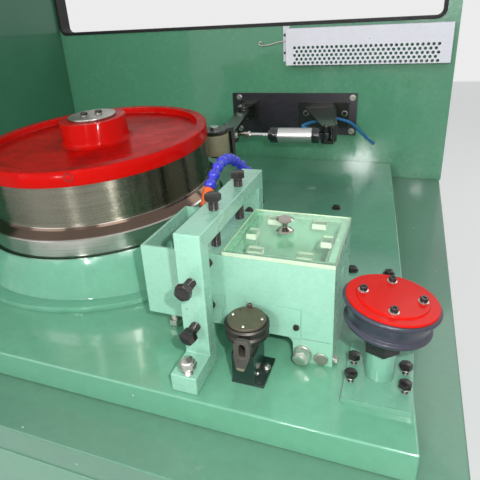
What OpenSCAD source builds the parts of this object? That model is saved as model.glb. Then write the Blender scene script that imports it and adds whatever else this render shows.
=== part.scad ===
// One block station of a straight-line wire drawing machine, in millimetres.
// +Z is up, the operator stands on the -Y side, and the wire runs from right to left.
// The origin is on the floor, under the middle of the station.

/* [Station] */
// Width of the station, left to right
station_w = 1780; // [1740:10:1900]
// Depth of the station, front to back
station_d = 1580; // [1540:10:1700]
// Height of the working deck over the floor
deck_h = 860; // [760:10:960]
// Height of the raised deck over the cabinet top
deck_step = 60; // [20:5:80]
// Height of the welded plinth under the cabinet
plinth_h = 100; // [60:5:160]
// How far the plinth stands back from the cabinet sides
plinth_inset = 60; // [30:5:90]
// Thickness of the bolted cover panels
panel_t = 4; // [2:1:8]
// Radius of the anchor bolt holes
anchor_r = 11; // [8:0.5:14]
// Thickness of the anchor lugs
anchor_t = 20; // [12:1:30]
// Side length of the square anchor lugs
anchor_w = 90; // [70:5:110]

/* [Deck and walls] */
// Front ledge between the cabinet front and the raised deck
front_ledge = 110; // [60:5:150]
// Right end of the raised deck at its back
deck_back_x = 695; // [660:5:720]
// Right end of the raised deck at its front
deck_front_x = 809; // [780:5:840]
// Height of the walls over the floor
wall_top = 1900; // [1700:10:2100]
// Thickness of the back wall
back_wall_t = 60; // [40:5:90]
// Thickness of the left wall
side_wall_t = 43; // [30:1:60]
// Sill of the opening in the back wall, over the deck
sill_h = 556; // [500:2:620]
// Head of the opening in the back wall, under the top of the wall
head_drop = 64; // [40:2:120]
// Corner radius of the opening
opening_r = 25; // [10:1:60]
// Width of the black edge trim round the opening
trim_w = 12; // [6:1:24]

/* [Drawing block] */
// Position of the block axis on the deck, left to right
block_x = -50; // [-80:1:-20]
// Distance of the block axis from the front edge of the raised deck
axis_in = 534; // [500:1:560]
// Forward tilt of the block axis
tilt_front = 3; // [0:0.1:4]
// Leftward tilt of the block axis
tilt_left = 1.2; // [0:0.1:2]
// Radius of the wire-bearing face of the drum
drum_r = 300; // [260:1:310]
// Radius of the skirt below the wire-bearing face
skirt_r = 326; // [318:1:335]
// Height of the skirt's lower edge along the axis
skirt_z0 = 106; // [100:1:112]
// Height of the skirt's upper edge along the axis
skirt_z1 = 163; // [150:1:170]
// Height where the flare meets the wire-bearing face
face_z0 = 186; // [176:1:190]
// Height of the top of the wire-bearing face
face_z1 = 286; // [270:1:300]
// Height of the top of the red rim
rim_z1 = 323; // [310:1:335]
// Radius of the outside of the red rim
rim_r = 306; // [303:1:316]
// Thickness of the red rim wall
rim_t = 25; // [15:1:35]
// Thickness of the red top plate
top_plate_t = 20; // [12:1:25]
// Radius of the red boss
boss_r = 88; // [78:1:110]
// Height of the top of the red boss
boss_z1 = 368; // [350:1:390]
// Radius of the steel cap on the boss
cap_r = 64; // [50:1:72]
// Thickness of the steel cap
cap_t = 6; // [4:1:12]
// Radius of the drum shaft
shaft_r = 40; // [30:1:48]
// Radius of the pedestal's upper lip
pedestal_top_r = 337; // [334:1:345]
// Height of the pedestal's upper lip
pedestal_z1 = 120; // [116:1:124]
// Radius of the pedestal at its foot
pedestal_foot_r = 374; // [350:1:390]
// Radius of the flat ring round the pedestal foot
ring_r = 398; // [388:1:410]
// Height of the flat ring
ring_h = 15; // [8:1:24]

/* [Die box] */
// Left end of the die box
box_x0 = 285; // [270:1:300]
// Right end of the die box
box_x1 = 658; // [640:1:665]
// Distance of the die box from the front edge of the raised deck
box_in = 148; // [135:1:160]
// Depth of the die box, front to back
box_d = 202; // [180:1:230]
// Height of the rim over the deck
box_rim = 204; // [190:1:214]
// Height of the box floor's underside over the deck
box_base = 52; // [40:1:70]
// Wall thickness of the die box
box_wall = 6; // [4:1:10]
// Right end of the open left compartment
die_bay_x1 = 399; // [380:1:405]
// Left end of the soap compartment
soap_x0 = 462; // [456:1:480]
// Width of the inward rim over the soap compartment
soap_rim = 10; // [8:1:14]
// Distance of the inner partition from the right wall
slot_w = 15; // [10:1:24]
// Width of the foot under the right end
foot_w = 73; // [60:1:90]
// Outer radius of the round die holder
holder_r = 52; // [40:1:60]
// Bore radius of the die holder
holder_bore = 18; // [10:1:25]
// Length of the die holder
holder_l = 46; // [30:1:60]

/* [Soap box lid] */
// Thickness of the clear lid
lid_t = 8; // [5:1:12]
// Length of the clear guide blocks
block_l = 28; // [20:1:34]
// Width of the clear guide blocks
block_w = 20; // [14:1:22]
// Radius of the knob's discs
knob_r = 17; // [12:1:22]
// Height of the knob
knob_h = 30; // [20:1:40]

/* [Clamp frame] */
// Left side of the clamp frame
clamp_x = 400; // [395:1:403]
// Width of the flat bar
clamp_w = 49; // [40:1:49]
// Thickness of the flat bar
clamp_t = 32; // [20:1:36]
// Distance of the front leg from the front edge of the raised deck
clamp_in = 75; // [68:1:90]
// Depth of the clamp frame over its two legs
clamp_d = 350; // [335:1:365]
// Height of the beam's top over the deck
clamp_h = 277; // [262:1:300]
// Length of the feet beyond the legs
clamp_foot = 63; // [50:1:75]
// Height of the feet
clamp_foot_h = 36; // [20:1:45]

/* [Guide pulley] */
// Position of the guide pulley, left to right
guide_x = 740; // [735:1:750]
// Distance of the guide pulley from the front edge of the raised deck
guide_in = 145; // [135:1:155]
// Width of the base plate
guide_plate_w = 112; // [100:1:120]
// Depth of the base plate
guide_plate_d = 144; // [120:1:170]
// Thickness of the base plate
guide_plate_t = 12; // [8:1:20]
// Radius of the green post
guide_post_r = 25; // [18:1:30]
// Height of the green post over the deck
guide_post_h = 68; // [50:1:90]
// Corner radius of the hexagon nut
guide_nut_r = 32; // [28:1:36]
// Height of the hexagon nut
guide_nut_h = 24; // [16:1:28]
// Rightward lean of the pulley's axis
guide_lean_right = 6; // [0:0.5:7]
// Backward lean of the pulley's axis
guide_lean_back = 2; // [0:0.5:4]
// Height of the wheel's underside over the post
guide_wheel_rise = 48; // [40:1:60]
// Radius of the wheel's lower flange
guide_wheel_r = 72; // [66:1:76]
// Height of the wheel
guide_wheel_h = 48; // [42:1:56]
// Radius of the red cap
guide_cap_r = 75; // [60:1:76]
// Thickness of the red cap
guide_cap_t = 7; // [6:1:12]

/* [Sensing roller] */
// Position of the sensing roller, left to right
sensor_x = 514; // [505:1:525]
// Distance of the sensing roller from the front edge of the raised deck
sensor_in = 100; // [95:1:100]
// Radius of the sensing roller
sensor_r = 40; // [30:1:40]
// Height of the roller's underside over the deck
sensor_h = 78; // [70:1:90]
// Height of the roller
sensor_roller_h = 32; // [24:1:40]

/* [Press arm] */
// Position of the arm's wall hinge, left to right
hinge_x = 95; // [85:1:105]
// Distance of the arm's wall hinge from the face of the wall plate
hinge_out = 83; // [72:1:92]
// Height of the arm bar's underside over the deck
arm_h = 215; // [210:1:222]
// Width of the arm bar
arm_w = 50; // [40:1:56]
// Thickness of the arm bar
arm_t = 15; // [10:1:18]
// Direction of the press roller seen from the block axis
roller_dir = 44; // [38:0.5:48]
// Radius of the press roller
roller_r = 42; // [34:1:46]
// Length of the press roller
roller_l = 64; // [50:1:70]
// Radius of the hinge, roller and pivot pins
pin_r = 8; // [6:0.5:9]
// Running clearance of every turning fit
fit = 0.05; // [0.02:0.01:0.08]

/* [Air cylinder] */
// Position of the cylinder's rear pivot, left to right
pivot_x = 480; // [475:1:485]
// Distance of the cylinder's rear pivot from the face of the wall plate
pivot_out = 317; // [307:1:327]
// Position of the rod-end pin on the arm, left to right
rod_pin_x = 150; // [145:1:155]
// Distance of the rod-end pin from the arm's hinge, front to back
rod_pin_out = 265; // [257:1:273]
// Height of the cylinder's axis over the deck
cyl_h = 190; // [186:1:194]
// Outer radius of the barrel
barrel_r = 27; // [22:1:28]
// Length of the barrel
barrel_l = 120; // [100:1:124]
// Radius of the piston rod
rod_r = 8; // [6:1:10]
// Clearance of the open pin in the rod end
rod_pin_gap = 1.2; // [1.1:0.1:1.6]

/* [Wall fittings] */
// Left end of the black wall plate
plate_x0 = 16; // [5:1:25]
// Length of the black wall plate
plate_l = 532; // [500:1:560]
// Height of the wall plate's underside over the deck
plate_z0 = 113; // [100:1:120]
// Height of the wall plate
plate_h = 171; // [165:1:190]
// Thickness of the wall plate
plate_t = 8; // [6:1:12]
// Left end of the perforated guard box
guard_x0 = 270; // [250:1:300]
// Length of the perforated guard box
guard_l = 600; // [500:1:610]
// Height of the guard box's underside over the deck
guard_z0 = 401; // [380:1:420]
// Height of the guard box
guard_h = 136; // [120:1:150]
// Depth of the guard box
guard_d = 60; // [40:1:70]
// Sheet thickness of the guard box
guard_t = 2; // [1.5:0.5:3]
// Pitch of the guard box's holes along a row
hole_pitch = 18; // [16:0.5:22]
// Pitch of the guard box's hole rows
row_pitch = 14.3; // [13.5:0.1:16]
// Radius of the guard box's holes
hole_r = 5.5; // [3:0.5:6]
// Number of hole rows
hole_rows = 5; // [3:1:6]
// Radius of the air tube
tube_r = 5.5; // [3:0.5:6]
// Radius of one ball of the jointed hose
ball_r = 13.5; // [10:0.5:15]

/* [Hidden] */

$fn = 64;
half_w = station_w / 2;
half_d = station_d / 2;
cabinet_top = deck_h - deck_step;
deck_y0 = -half_d + front_ledge;
deck_y1 = half_d - back_wall_t;
wall_x0 = -half_w + side_wall_t;
sill_z = deck_h + sill_h;
head_z = wall_top - head_drop;
opening_x0 = wall_x0 + trim_w;
opening_x1 = half_w - 55;
seat = 0.3;
block_y = deck_y0 + axis_in;
box_y0 = deck_y0 + box_in;
clamp_y0 = deck_y0 + clamp_in;
clamp_y1 = clamp_y0 + clamp_d;
guide_y = deck_y0 + guide_in;
sensor_y = deck_y0 + sensor_in;
plate_y = deck_y1 - plate_t;
hinge_y = plate_y - hinge_out;
pivot_y = plate_y - pivot_out;
rod_pin_y = hinge_y - rod_pin_out;

// A rectangle with rounded corners, drawn from its lower left corner.
module rounded(w, d, r) {
    translate([r, 0]) square([w - 2 * r, d]);
    translate([0, r]) square([w, d - 2 * r]);
    for (x = [r, w - r], y = [r, d - r]) translate([x, y]) circle(r);
}

// Places its children in the frame of the tilted block axis.
module on_block() {
    translate([block_x, block_y, deck_h]) rotate([tilt_front, -tilt_left, 0]) children();
}

// Turns a profile drawn in the XZ plane into a plate that stands across Y.
module upright(y, t) {
    translate([0, y + t, 0]) rotate([90, 0, 0]) linear_extrude(t) children();
}

// A point between two others on a smooth curve through four points.
function curve_point(a, b, c, d, t) = 0.5 * (2 * b + (c - a) * t + (2 * a - 5 * b + 4 * c - d) * t * t
    + (3 * b - a - 3 * c + d) * t * t * t);
// The smooth route through hand-picked points, with a few rings between each pair.
function route(p, steps) = [for (i = [0 : len(p) - 2], s = [0 : steps - 1])
    curve_point(p[max(i - 1, 0)], p[i], p[i + 1], p[min(i + 2, len(p) - 1)], s / steps), p[len(p) - 1]];
// A vector of length one.
function unit(v) = v / norm(v);

// A round tube swept along a route, with its rings square to the route.
module sweep(p, r, sides, side_ref) {
    last = len(p) - 1;
    dirs = [for (i = [0 : last]) unit(p[min(i + 1, last)] - p[max(i - 1, 0)])];
    rings = [for (i = [0 : last]) let (u = unit(cross(dirs[i], side_ref)), w = cross(dirs[i], u))
        [for (k = [0 : sides - 1]) p[i] + r * (cos(360 * k / sides) * u + sin(360 * k / sides) * w)]];
    points = [for (ring = rings, q = ring) q];
    walls = [for (i = [0 : last - 1], k = [0 : sides - 1]) let (a = i * sides + k,
        b = i * sides + (k + 1) % sides) [a, b, b + sides, a + sides]];
    start_cap = [for (k = [sides - 1 : -1 : 0]) k];
    end_cap = [for (k = [0 : sides - 1]) last * sides + k];
    polyhedron(points, concat(walls, [start_cap, end_cap]), convexity = 6);
}

// Welded plinth with four anchor lugs inside the cabinet's outline.
lug_reach = anchor_w / 2;
anchor_x = half_w - plinth_inset - lug_reach;
anchor_y = half_d - plinth_inset - lug_reach;
pocket = anchor_w + 40;
module base_frame() {
    color("darkslategray") {
        difference() {
            translate([-half_w + plinth_inset, -half_d + plinth_inset, 0])
                cube([station_w - 2 * plinth_inset, station_d - 2 * plinth_inset, plinth_h]);
            for (sx = [-1, 1], sy = [-1, 1])
                translate([sx * (anchor_x + lug_reach) - pocket * (sx + 1) / 2 + (sx < 0 ? -1 : 1),
                    sy * (anchor_y + lug_reach) - pocket * (sy + 1) / 2 + (sy < 0 ? -1 : 1), anchor_t])
                    cube([pocket, pocket, plinth_h]);
            for (sx = [-1, 1], sy = [-1, 1])
                translate([sx * anchor_x, sy * anchor_y, -1]) cylinder(r = anchor_r, h = anchor_t + 2);
        }
    }
}

// Closed sheet steel housing of the gear unit and motor.
module cabinet() {
    color([0.45, 0.72, 0.58])
        translate([-half_w + panel_t, -half_d + panel_t, plinth_h])
            cube([station_w - 2 * panel_t, station_d - 2 * panel_t, cabinet_top - plinth_h]);
}

// Bolted service covers: two in front, two behind, one at each side.
cover_margin = 60;
cover_gap = 40;
cover_r = 30;
cover_z0 = plinth_h + cover_margin;
cover_h = cabinet_top - cover_margin - cover_z0;
front_cover_w = (station_w - 2 * cover_margin - cover_gap) / 2;
side_cover_w = station_d - 4 * cover_margin;
module cover_panels() {
    color([0.5, 0.76, 0.62]) {
        for (x = [-half_w + cover_margin, cover_gap / 2], y = [-half_d, half_d - panel_t])
            upright(y, panel_t) translate([x, cover_z0]) rounded(front_cover_w, cover_h, cover_r);
        for (x = [-half_w, half_w - panel_t])
            translate([x, -side_cover_w / 2, cover_z0]) rotate([90, 0, 90]) linear_extrude(panel_t)
                rounded(side_cover_w, cover_h, cover_r);
    }
}

// Raised working deck with its slanting right end.
module deck() {
    color([0.48, 0.72, 0.6])
        translate([0, 0, cabinet_top]) linear_extrude(deck_step)
            polygon([[wall_x0, deck_y0], [deck_front_x, deck_y0], [deck_back_x, deck_y1],
                [wall_x0, deck_y1]]);
}

// Back wall with its wide opening over the working space.
module opening_outline(grow) {
    translate([opening_x0 - grow, sill_z - grow])
        rounded(opening_x1 - opening_x0 + 2 * grow, head_z - sill_z + 2 * grow, opening_r + grow);
}
module back_wall() {
    color([0.31, 0.56, 0.43])
        upright(deck_y1, back_wall_t) difference() {
            translate([-half_w, cabinet_top]) square([station_w, wall_top - cabinet_top]);
            opening_outline(0);
        }
}

// Left end wall of the working space.
module side_wall() {
    color([0.17, 0.36, 0.29])
        translate([-half_w, deck_y0, cabinet_top])
            cube([side_wall_t, deck_y1 - deck_y0, wall_top - cabinet_top]);
}

// Black edge trim pushed over the edge of the opening.
trim_proud = 6;
trim_t = 3;
module window_trim() {
    color([0.08, 0.09, 0.09]) {
        upright(deck_y1 - trim_proud, trim_proud) difference() {
            opening_outline(trim_w - trim_t);
            opening_outline(-trim_t);
        }
        upright(deck_y1 - 1, back_wall_t) difference() {
            opening_outline(-seat);
            opening_outline(-trim_t);
        }
    }
}

// Cast pedestal of the drum: a flat ring on the deck and a cone up to a thin lip.
lip_t = 5;
lip_depth = 22;
shaft_z0 = 20;
run_gap = 5;
module pedestal() {
    color([0.45, 0.76, 0.63]) {
        difference() {
            union() {
                translate([block_x, block_y, deck_h]) cylinder(r = ring_r, h = ring_h, $fn = 160);
                intersection() {
                    on_block() rotate_extrude($fn = 160)
                        polygon([[0, -2 * ring_h], [pedestal_foot_r + 8, -2 * ring_h],
                            [pedestal_foot_r, ring_h / 2], [pedestal_top_r, pedestal_z1],
                            [pedestal_top_r - lip_t, pedestal_z1],
                            [pedestal_top_r - lip_t, pedestal_z1 - lip_depth],
                            [0, pedestal_z1 - lip_depth]]);
                    translate([block_x, block_y, deck_h])
                        cylinder(r = ring_r, h = 2 * pedestal_z1, $fn = 160);
                }
            }
            on_block() translate([0, 0, shaft_z0]) cylinder(r = shaft_r + fit, h = pedestal_z1);
        }
    }
}

// Shaft of the gear unit, with the collar that carries the drum.
collar_h = 6;
module drum_shaft() {
    color("silver") on_block() {
        translate([0, 0, shaft_z0 + run_gap])
            cylinder(r = shaft_r, h = boss_z1 - 2 - shaft_z0 - run_gap);
        translate([0, 0, skirt_z0 - collar_h]) cylinder(r = shaft_r + 12, h = collar_h);
    }
}

// Steel skirt of the drum, with the flare that throws the wire up onto the face.
fillet = 6;
flare_top_r = drum_r + 1.6;
module drum_bored(z0, z1) {
    difference() {
        children();
        translate([0, 0, z0 - 1]) cylinder(r = shaft_r + 0.1, h = z1 - z0 + 2);
    }
}
module drum_skirt() {
    color("silver") on_block() drum_bored(skirt_z0, face_z0)
        rotate_extrude($fn = 200)
            polygon([[0, skirt_z0], [skirt_r - 3, skirt_z0], [skirt_r, skirt_z0 + 3],
                [skirt_r, skirt_z1 - 1], [skirt_r - 1, skirt_z1],
                [drum_r + fillet, face_z0 - fillet], [flare_top_r, face_z0], [0, face_z0]]);
}

// Hardened wire-bearing face of the drum.
module drum_shell() {
    color("silver") on_block() drum_bored(face_z0, face_z1)
        rotate_extrude($fn = 200)
            polygon([[0, face_z0], [flare_top_r - 0.6, face_z0], [drum_r, face_z0 + fillet],
                [drum_r, face_z1], [0, face_z1]]);
}

// Red dished top of the drum with its rim and welded boss.
edge_r = 4;
weld = 12;
module drum_flange() {
    color([0.84, 0.08, 0.04]) on_block() difference() {
        rotate_extrude($fn = 200) {
            translate([0, face_z1]) square([rim_r - 1, top_plate_t]);
            translate([rim_r - rim_t, face_z1]) square([rim_t - edge_r, rim_z1 - face_z1]);
            translate([rim_r - rim_t, face_z1 + edge_r]) square([rim_t, rim_z1 - face_z1 - 2 * edge_r]);
            translate([rim_r - edge_r, face_z1 + edge_r]) circle(edge_r, $fn = 24);
            translate([rim_r - edge_r, rim_z1 - edge_r]) circle(edge_r, $fn = 24);
            translate([0, face_z1]) square([boss_r, boss_z1 - face_z1]);
            polygon([[boss_r - 1, face_z1 + top_plate_t - 1], [boss_r + weld, face_z1 + top_plate_t - 1],
                [boss_r + weld, face_z1 + top_plate_t],
                [boss_r + weld * 0.3, face_z1 + top_plate_t + weld * 0.35],
                [boss_r, face_z1 + top_plate_t + weld], [boss_r - 1, face_z1 + top_plate_t + weld]]);
        }
        translate([0, 0, face_z1 - 1]) cylinder(r = shaft_r + 0.1, h = boss_z1);
    }
}

// Turned steel cap that clamps the drum down on its shaft.
module drum_cap() {
    color("gainsboro") on_block() translate([0, 0, boss_z1]) {
        cylinder(r = cap_r, h = cap_t - 1.5);
        translate([0, 0, cap_t - 1.5]) cylinder(r1 = cap_r, r2 = cap_r - 1.5, h = 1.5);
    }
}

// Welded clamp frame of heavy flat bar that straddles the die box.
clamp_leg_h = clamp_h - clamp_t;
module clamp_frame() {
    color([0.6, 0.86, 0.74])
        translate([clamp_x, 0, deck_h]) rotate([90, 0, 90]) linear_extrude(clamp_w) {
            translate([clamp_y0 - clamp_foot, 0]) square([clamp_foot + clamp_t, clamp_foot_h]);
            translate([clamp_y1 - clamp_t, 0]) square([clamp_foot + clamp_t, clamp_foot_h]);
            translate([clamp_y0, 0]) square([clamp_t, clamp_h]);
            translate([clamp_y1 - clamp_t, 0]) square([clamp_t, clamp_h]);
            translate([clamp_y0, clamp_leg_h]) square([clamp_y1 - clamp_y0, clamp_t]);
        }
}

// Welded die box: open die bay on the left, closed bridge under the clamp, soap bay on the right.
box_y1 = box_y0 + box_d;
box_z0 = deck_h + box_base;
box_z1 = deck_h + box_rim;
box_in_y0 = box_y0 + box_wall;
box_in_y1 = box_y1 - box_wall;
box_floor = box_z0 + box_wall;
slot_x0 = box_x1 - box_wall - slot_w;
lid_x0 = clamp_x + clamp_w + run_gap;
wire_y = (box_y0 + box_y1) / 2;
wire_z = deck_h + 150;
wire_slot = 14;
block_h = 12;
partition_drop = block_h + 3;
foot_x0 = box_x1 - foot_w;
module box_hollow(x0, x1, z0, z1, inset) {
    translate([x0, box_in_y0 + inset, z0])
        cube([x1 - x0, box_in_y1 - box_in_y0 - 2 * inset, z1 - z0]);
}
module die_box() {
    color([0.66, 0.91, 0.8]) difference() {
        translate([box_x0, box_y0, box_z0]) cube([box_x1 - box_x0, box_d, box_z1 - box_z0]);
        box_hollow(box_x0 + box_wall, die_bay_x1, box_floor, box_z1 + 1, 0);
        box_hollow(soap_x0, slot_x0 - box_wall, box_floor, box_z1 - box_wall, 0);
        box_hollow(slot_x0, box_x1 - box_wall, box_floor, box_z1 - box_wall, 0);
        box_hollow(slot_x0 - box_wall - 1, slot_x0 + 1, box_z1 - box_wall - partition_drop,
            box_z1 - box_wall, 0);
        box_hollow(soap_x0 + soap_rim - box_wall, box_x1 - box_wall - soap_rim, box_z1 - box_wall - 1,
            box_z1 + 1, soap_rim);
        translate([box_x0 - 1, wire_y, wire_z]) rotate([0, 90, 0])
            cylinder(r = wire_slot, h = box_wall + 2);
        translate([die_bay_x1 - 1, wire_y, wire_z]) rotate([0, 90, 0])
            cylinder(r = holder_bore, h = soap_x0 - die_bay_x1 + 2);
        translate([slot_x0 - box_wall - 1, wire_y, wire_z]) rotate([0, 90, 0])
            cylinder(r = wire_slot / 2, h = slot_w + 2 * box_wall + 2);
    }
}

// Round steel die holder seated against the bridge of the die box.
module die_holder() {
    color("gray") translate([die_bay_x1 - holder_l, wire_y, wire_z]) rotate([0, 90, 0]) difference() {
        union() {
            cylinder(r = holder_r, h = holder_l - 12);
            cylinder(r = holder_r - 10, h = holder_l);
        }
        translate([0, 0, -1]) cylinder(r = holder_bore, h = holder_l + 2);
        translate([0, 0, -1]) cylinder(r = holder_bore + 14, h = 11);
    }
}

// Foot block under the right end, with its round hinge pin.
foot_pin_r = 13;
foot_pin_x = box_x1 - 21;
foot_pin_z = 15;
foot_round = 16;
module box_foot() {
    color([0.62, 0.88, 0.76]) {
        upright(box_y0, box_d) difference() {
            union() {
                translate([foot_x0, deck_h]) square([foot_w, box_base]);
                translate([foot_x0 - foot_round, deck_h + box_base - foot_round])
                    square([foot_round + 1, foot_round]);
            }
            translate([foot_x0 - foot_round, deck_h + box_base - foot_round]) circle(foot_round, $fn = 48);
            translate([foot_pin_x, deck_h + foot_pin_z]) circle(foot_pin_r + 0.1);
        }
    }
    color("silver") translate([foot_pin_x, box_y1 + 3, deck_h + foot_pin_z]) rotate([90, 0, 0])
        cylinder(r = foot_pin_r, h = box_d + 6);
}

// Zinc jack bolt that levels the left end of the die box.
jack_x = box_x0 + 37;
jack_y = box_y0 + 37;
jack_r = 9;
jack_head = 12;
jack_corner = 16;
module jack_screw() {
    color("silver") translate([jack_x, jack_y, deck_h]) {
        cylinder(r = jack_r, h = box_base);
        translate([0, 0, jack_head / 2]) cylinder(r = jack_corner, h = jack_head, $fn = 6);
    }
}

// Two small cover plates on the front of the die box.
cover_x0 = 495;
cover_x1 = 600;
cover_low = 53;
cover_high = 115;
tab_x0 = clamp_x + clamp_w - 18;
tab_x1 = tab_x0 + 24;
tab_high = 120;
tab_low = 63;
cover_t = 3;
module cover_plates() {
    color([0.66, 0.91, 0.8]) upright(box_y0 - cover_t, cover_t) {
        difference() {
            translate([cover_x0, deck_h + cover_low]) square([cover_x1 - cover_x0, cover_high - cover_low]);
            translate([cover_x0 - 24, deck_h + 86]) circle(40);
        }
        difference() {
            translate([tab_x0, deck_h + tab_low]) square([tab_x1 - tab_x0, tab_high - tab_low]);
            translate([tab_x1 + 26, deck_h + tab_low + 10]) circle(34);
        }
    }
}

// Clear lid with the six guide blocks bonded under it.
lid_z0 = box_z1 + seat;
rim_in_x0 = soap_x0 + soap_rim - box_wall;
rim_in_x1 = box_x1 - box_wall - soap_rim;
rim_in_y0 = box_in_y0 + soap_rim;
rim_in_y1 = box_in_y1 - soap_rim;
lid_cx = (rim_in_x0 + rim_in_x1) / 2;
module guide_block(x, y, w, d) {
    translate([x - w / 2, y - d / 2, lid_z0 - block_h]) cube([w, d, block_h + 1]);
}
block_in = run_gap + block_w / 2;
module box_lid() {
    color([0.86, 0.92, 0.8, 0.4]) {
        translate([lid_x0, box_y0, lid_z0]) cube([box_x1 - lid_x0, box_d, lid_t]);
        for (x = [lid_cx - 46, lid_cx + 46], y = [rim_in_y0 + block_in, rim_in_y1 - block_in])
            guide_block(x, y, block_l, block_w);
        guide_block(rim_in_x0 + block_in, wire_y, block_w, block_l);
        guide_block(rim_in_x1 - block_in, wire_y, block_w, block_l);
    }
}

// Turned spool-shaped knob of the lid.
knob_x = lid_cx - 9;
knob_y = wire_y + 5;
module lid_knob() {
    color("silver") translate([knob_x, knob_y, lid_z0 + lid_t]) rotate_extrude($fn = 48)
        polygon([[0, 0], [knob_r - 4, 0], [knob_r, 3], [knob_r - 3, 6], [5, 11], [5, knob_h - 11],
            [knob_r - 3, knob_h - 6], [knob_r, knob_h - 3], [knob_r - 4, knob_h], [0, knob_h]]);
}

// Base plate, post and spindle of the guide pulley. The spindle leans out of the post.
spindle_r = 15;
spindle_collar_r = 22;
guide_plate_x0 = guide_x - guide_plate_w / 2;
guide_plate_y0 = guide_y - guide_plate_d / 2 - 4;
guide_post_z1 = deck_h + guide_post_h;
lean_drop = spindle_collar_r * sin(guide_lean_right + guide_lean_back);
collar_rise = guide_nut_h + lean_drop;
module on_spindle(rise) {
    translate([guide_x, guide_y, guide_post_z1]) rotate([-guide_lean_back, guide_lean_right, 0])
        translate([0, 0, rise]) children();
}
module guide_base() {
    color([0.55, 0.84, 0.7]) {
        translate([guide_plate_x0, guide_plate_y0, deck_h])
            cube([guide_plate_w, guide_plate_d, guide_plate_t]);
        translate([guide_x, guide_y, deck_h]) cylinder(r = guide_post_r, h = guide_post_h);
    }
    color("dimgray") {
        translate([guide_x, guide_y, guide_post_z1 - 1])
            cylinder(r = spindle_collar_r, h = collar_rise + lean_drop);
        on_spindle(collar_rise) {
            cylinder(r = spindle_collar_r, h = guide_wheel_rise - collar_rise - seat);
            cylinder(r = spindle_r, h = guide_wheel_rise - collar_rise + guide_wheel_h - 8);
        }
    }
}

// Hexagon nut that locks the spindle in the post.
guide_nut_turn = 40;
module guide_nut() {
    color([0.2, 0.19, 0.18]) translate([guide_x, guide_y, guide_post_z1]) difference() {
        rotate([0, 0, guide_nut_turn]) cylinder(r = guide_nut_r, h = guide_nut_h, $fn = 6);
        translate([0, 0, -1]) cylinder(r = spindle_collar_r + 0.1, h = guide_nut_h + 2);
    }
}

// Cast guide wheel with a broad flared band between its lower flange and its wider upper rim.
wheel_flange = 8;
wheel_step = 5;
upper_rim = 7;
upper_rim_r = guide_wheel_r + upper_rim;
module guide_wheel() {
    color([0.29, 0.3, 0.36]) on_spindle(guide_wheel_rise) difference() {
        rotate_extrude($fn = 120)
            polygon([[0, 0], [guide_wheel_r - 4, 0], [guide_wheel_r, 4], [guide_wheel_r, wheel_flange],
                [guide_wheel_r - wheel_step, wheel_flange + 3],
                [guide_wheel_r - wheel_step + 0.5, wheel_flange + 12],
                [guide_wheel_r - wheel_step + 3, guide_wheel_h - 18],
                [guide_wheel_r - 1, guide_wheel_h - 12], [guide_wheel_r - 2, guide_wheel_h - 10],
                [upper_rim_r, guide_wheel_h - 6], [upper_rim_r, guide_wheel_h - 3],
                [upper_rim_r - 2, guide_wheel_h], [0, guide_wheel_h]]);
        translate([0, 0, -1]) cylinder(r = spindle_r + fit, h = guide_wheel_h - 3);
    }
}

// Red bearing cap with a shallow raised centre.
cap_step = 3;
cap_ring = 17;
module guide_cap() {
    color([0.84, 0.08, 0.04]) on_spindle(guide_wheel_rise + guide_wheel_h) {
        cylinder(r1 = guide_cap_r, r2 = guide_cap_r - 1, h = guide_cap_t - cap_step, $fn = 120);
        cylinder(r = guide_cap_r - cap_ring, h = guide_cap_t, $fn = 120);
    }
}

// Black folded bracket under the sensing roller.
bracket_t = 5;
bracket_front = sensor_y - 39;
bracket_top = deck_h + sensor_h - 14;
module sensor_bracket() {
    color([0.06, 0.16, 0.13]) {
        translate([sensor_x - 20, bracket_front, deck_h]) cube([60, 76, bracket_t]);
        translate([sensor_x - 18, bracket_front, deck_h]) cube([42, bracket_t, bracket_top - deck_h]);
        translate([sensor_x + 19, bracket_front, deck_h]) cube([bracket_t, 60, bracket_top - deck_h]);
        translate([sensor_x - 18, bracket_front, bracket_top - bracket_t]) cube([42, 60, bracket_t]);
    }
}

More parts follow.
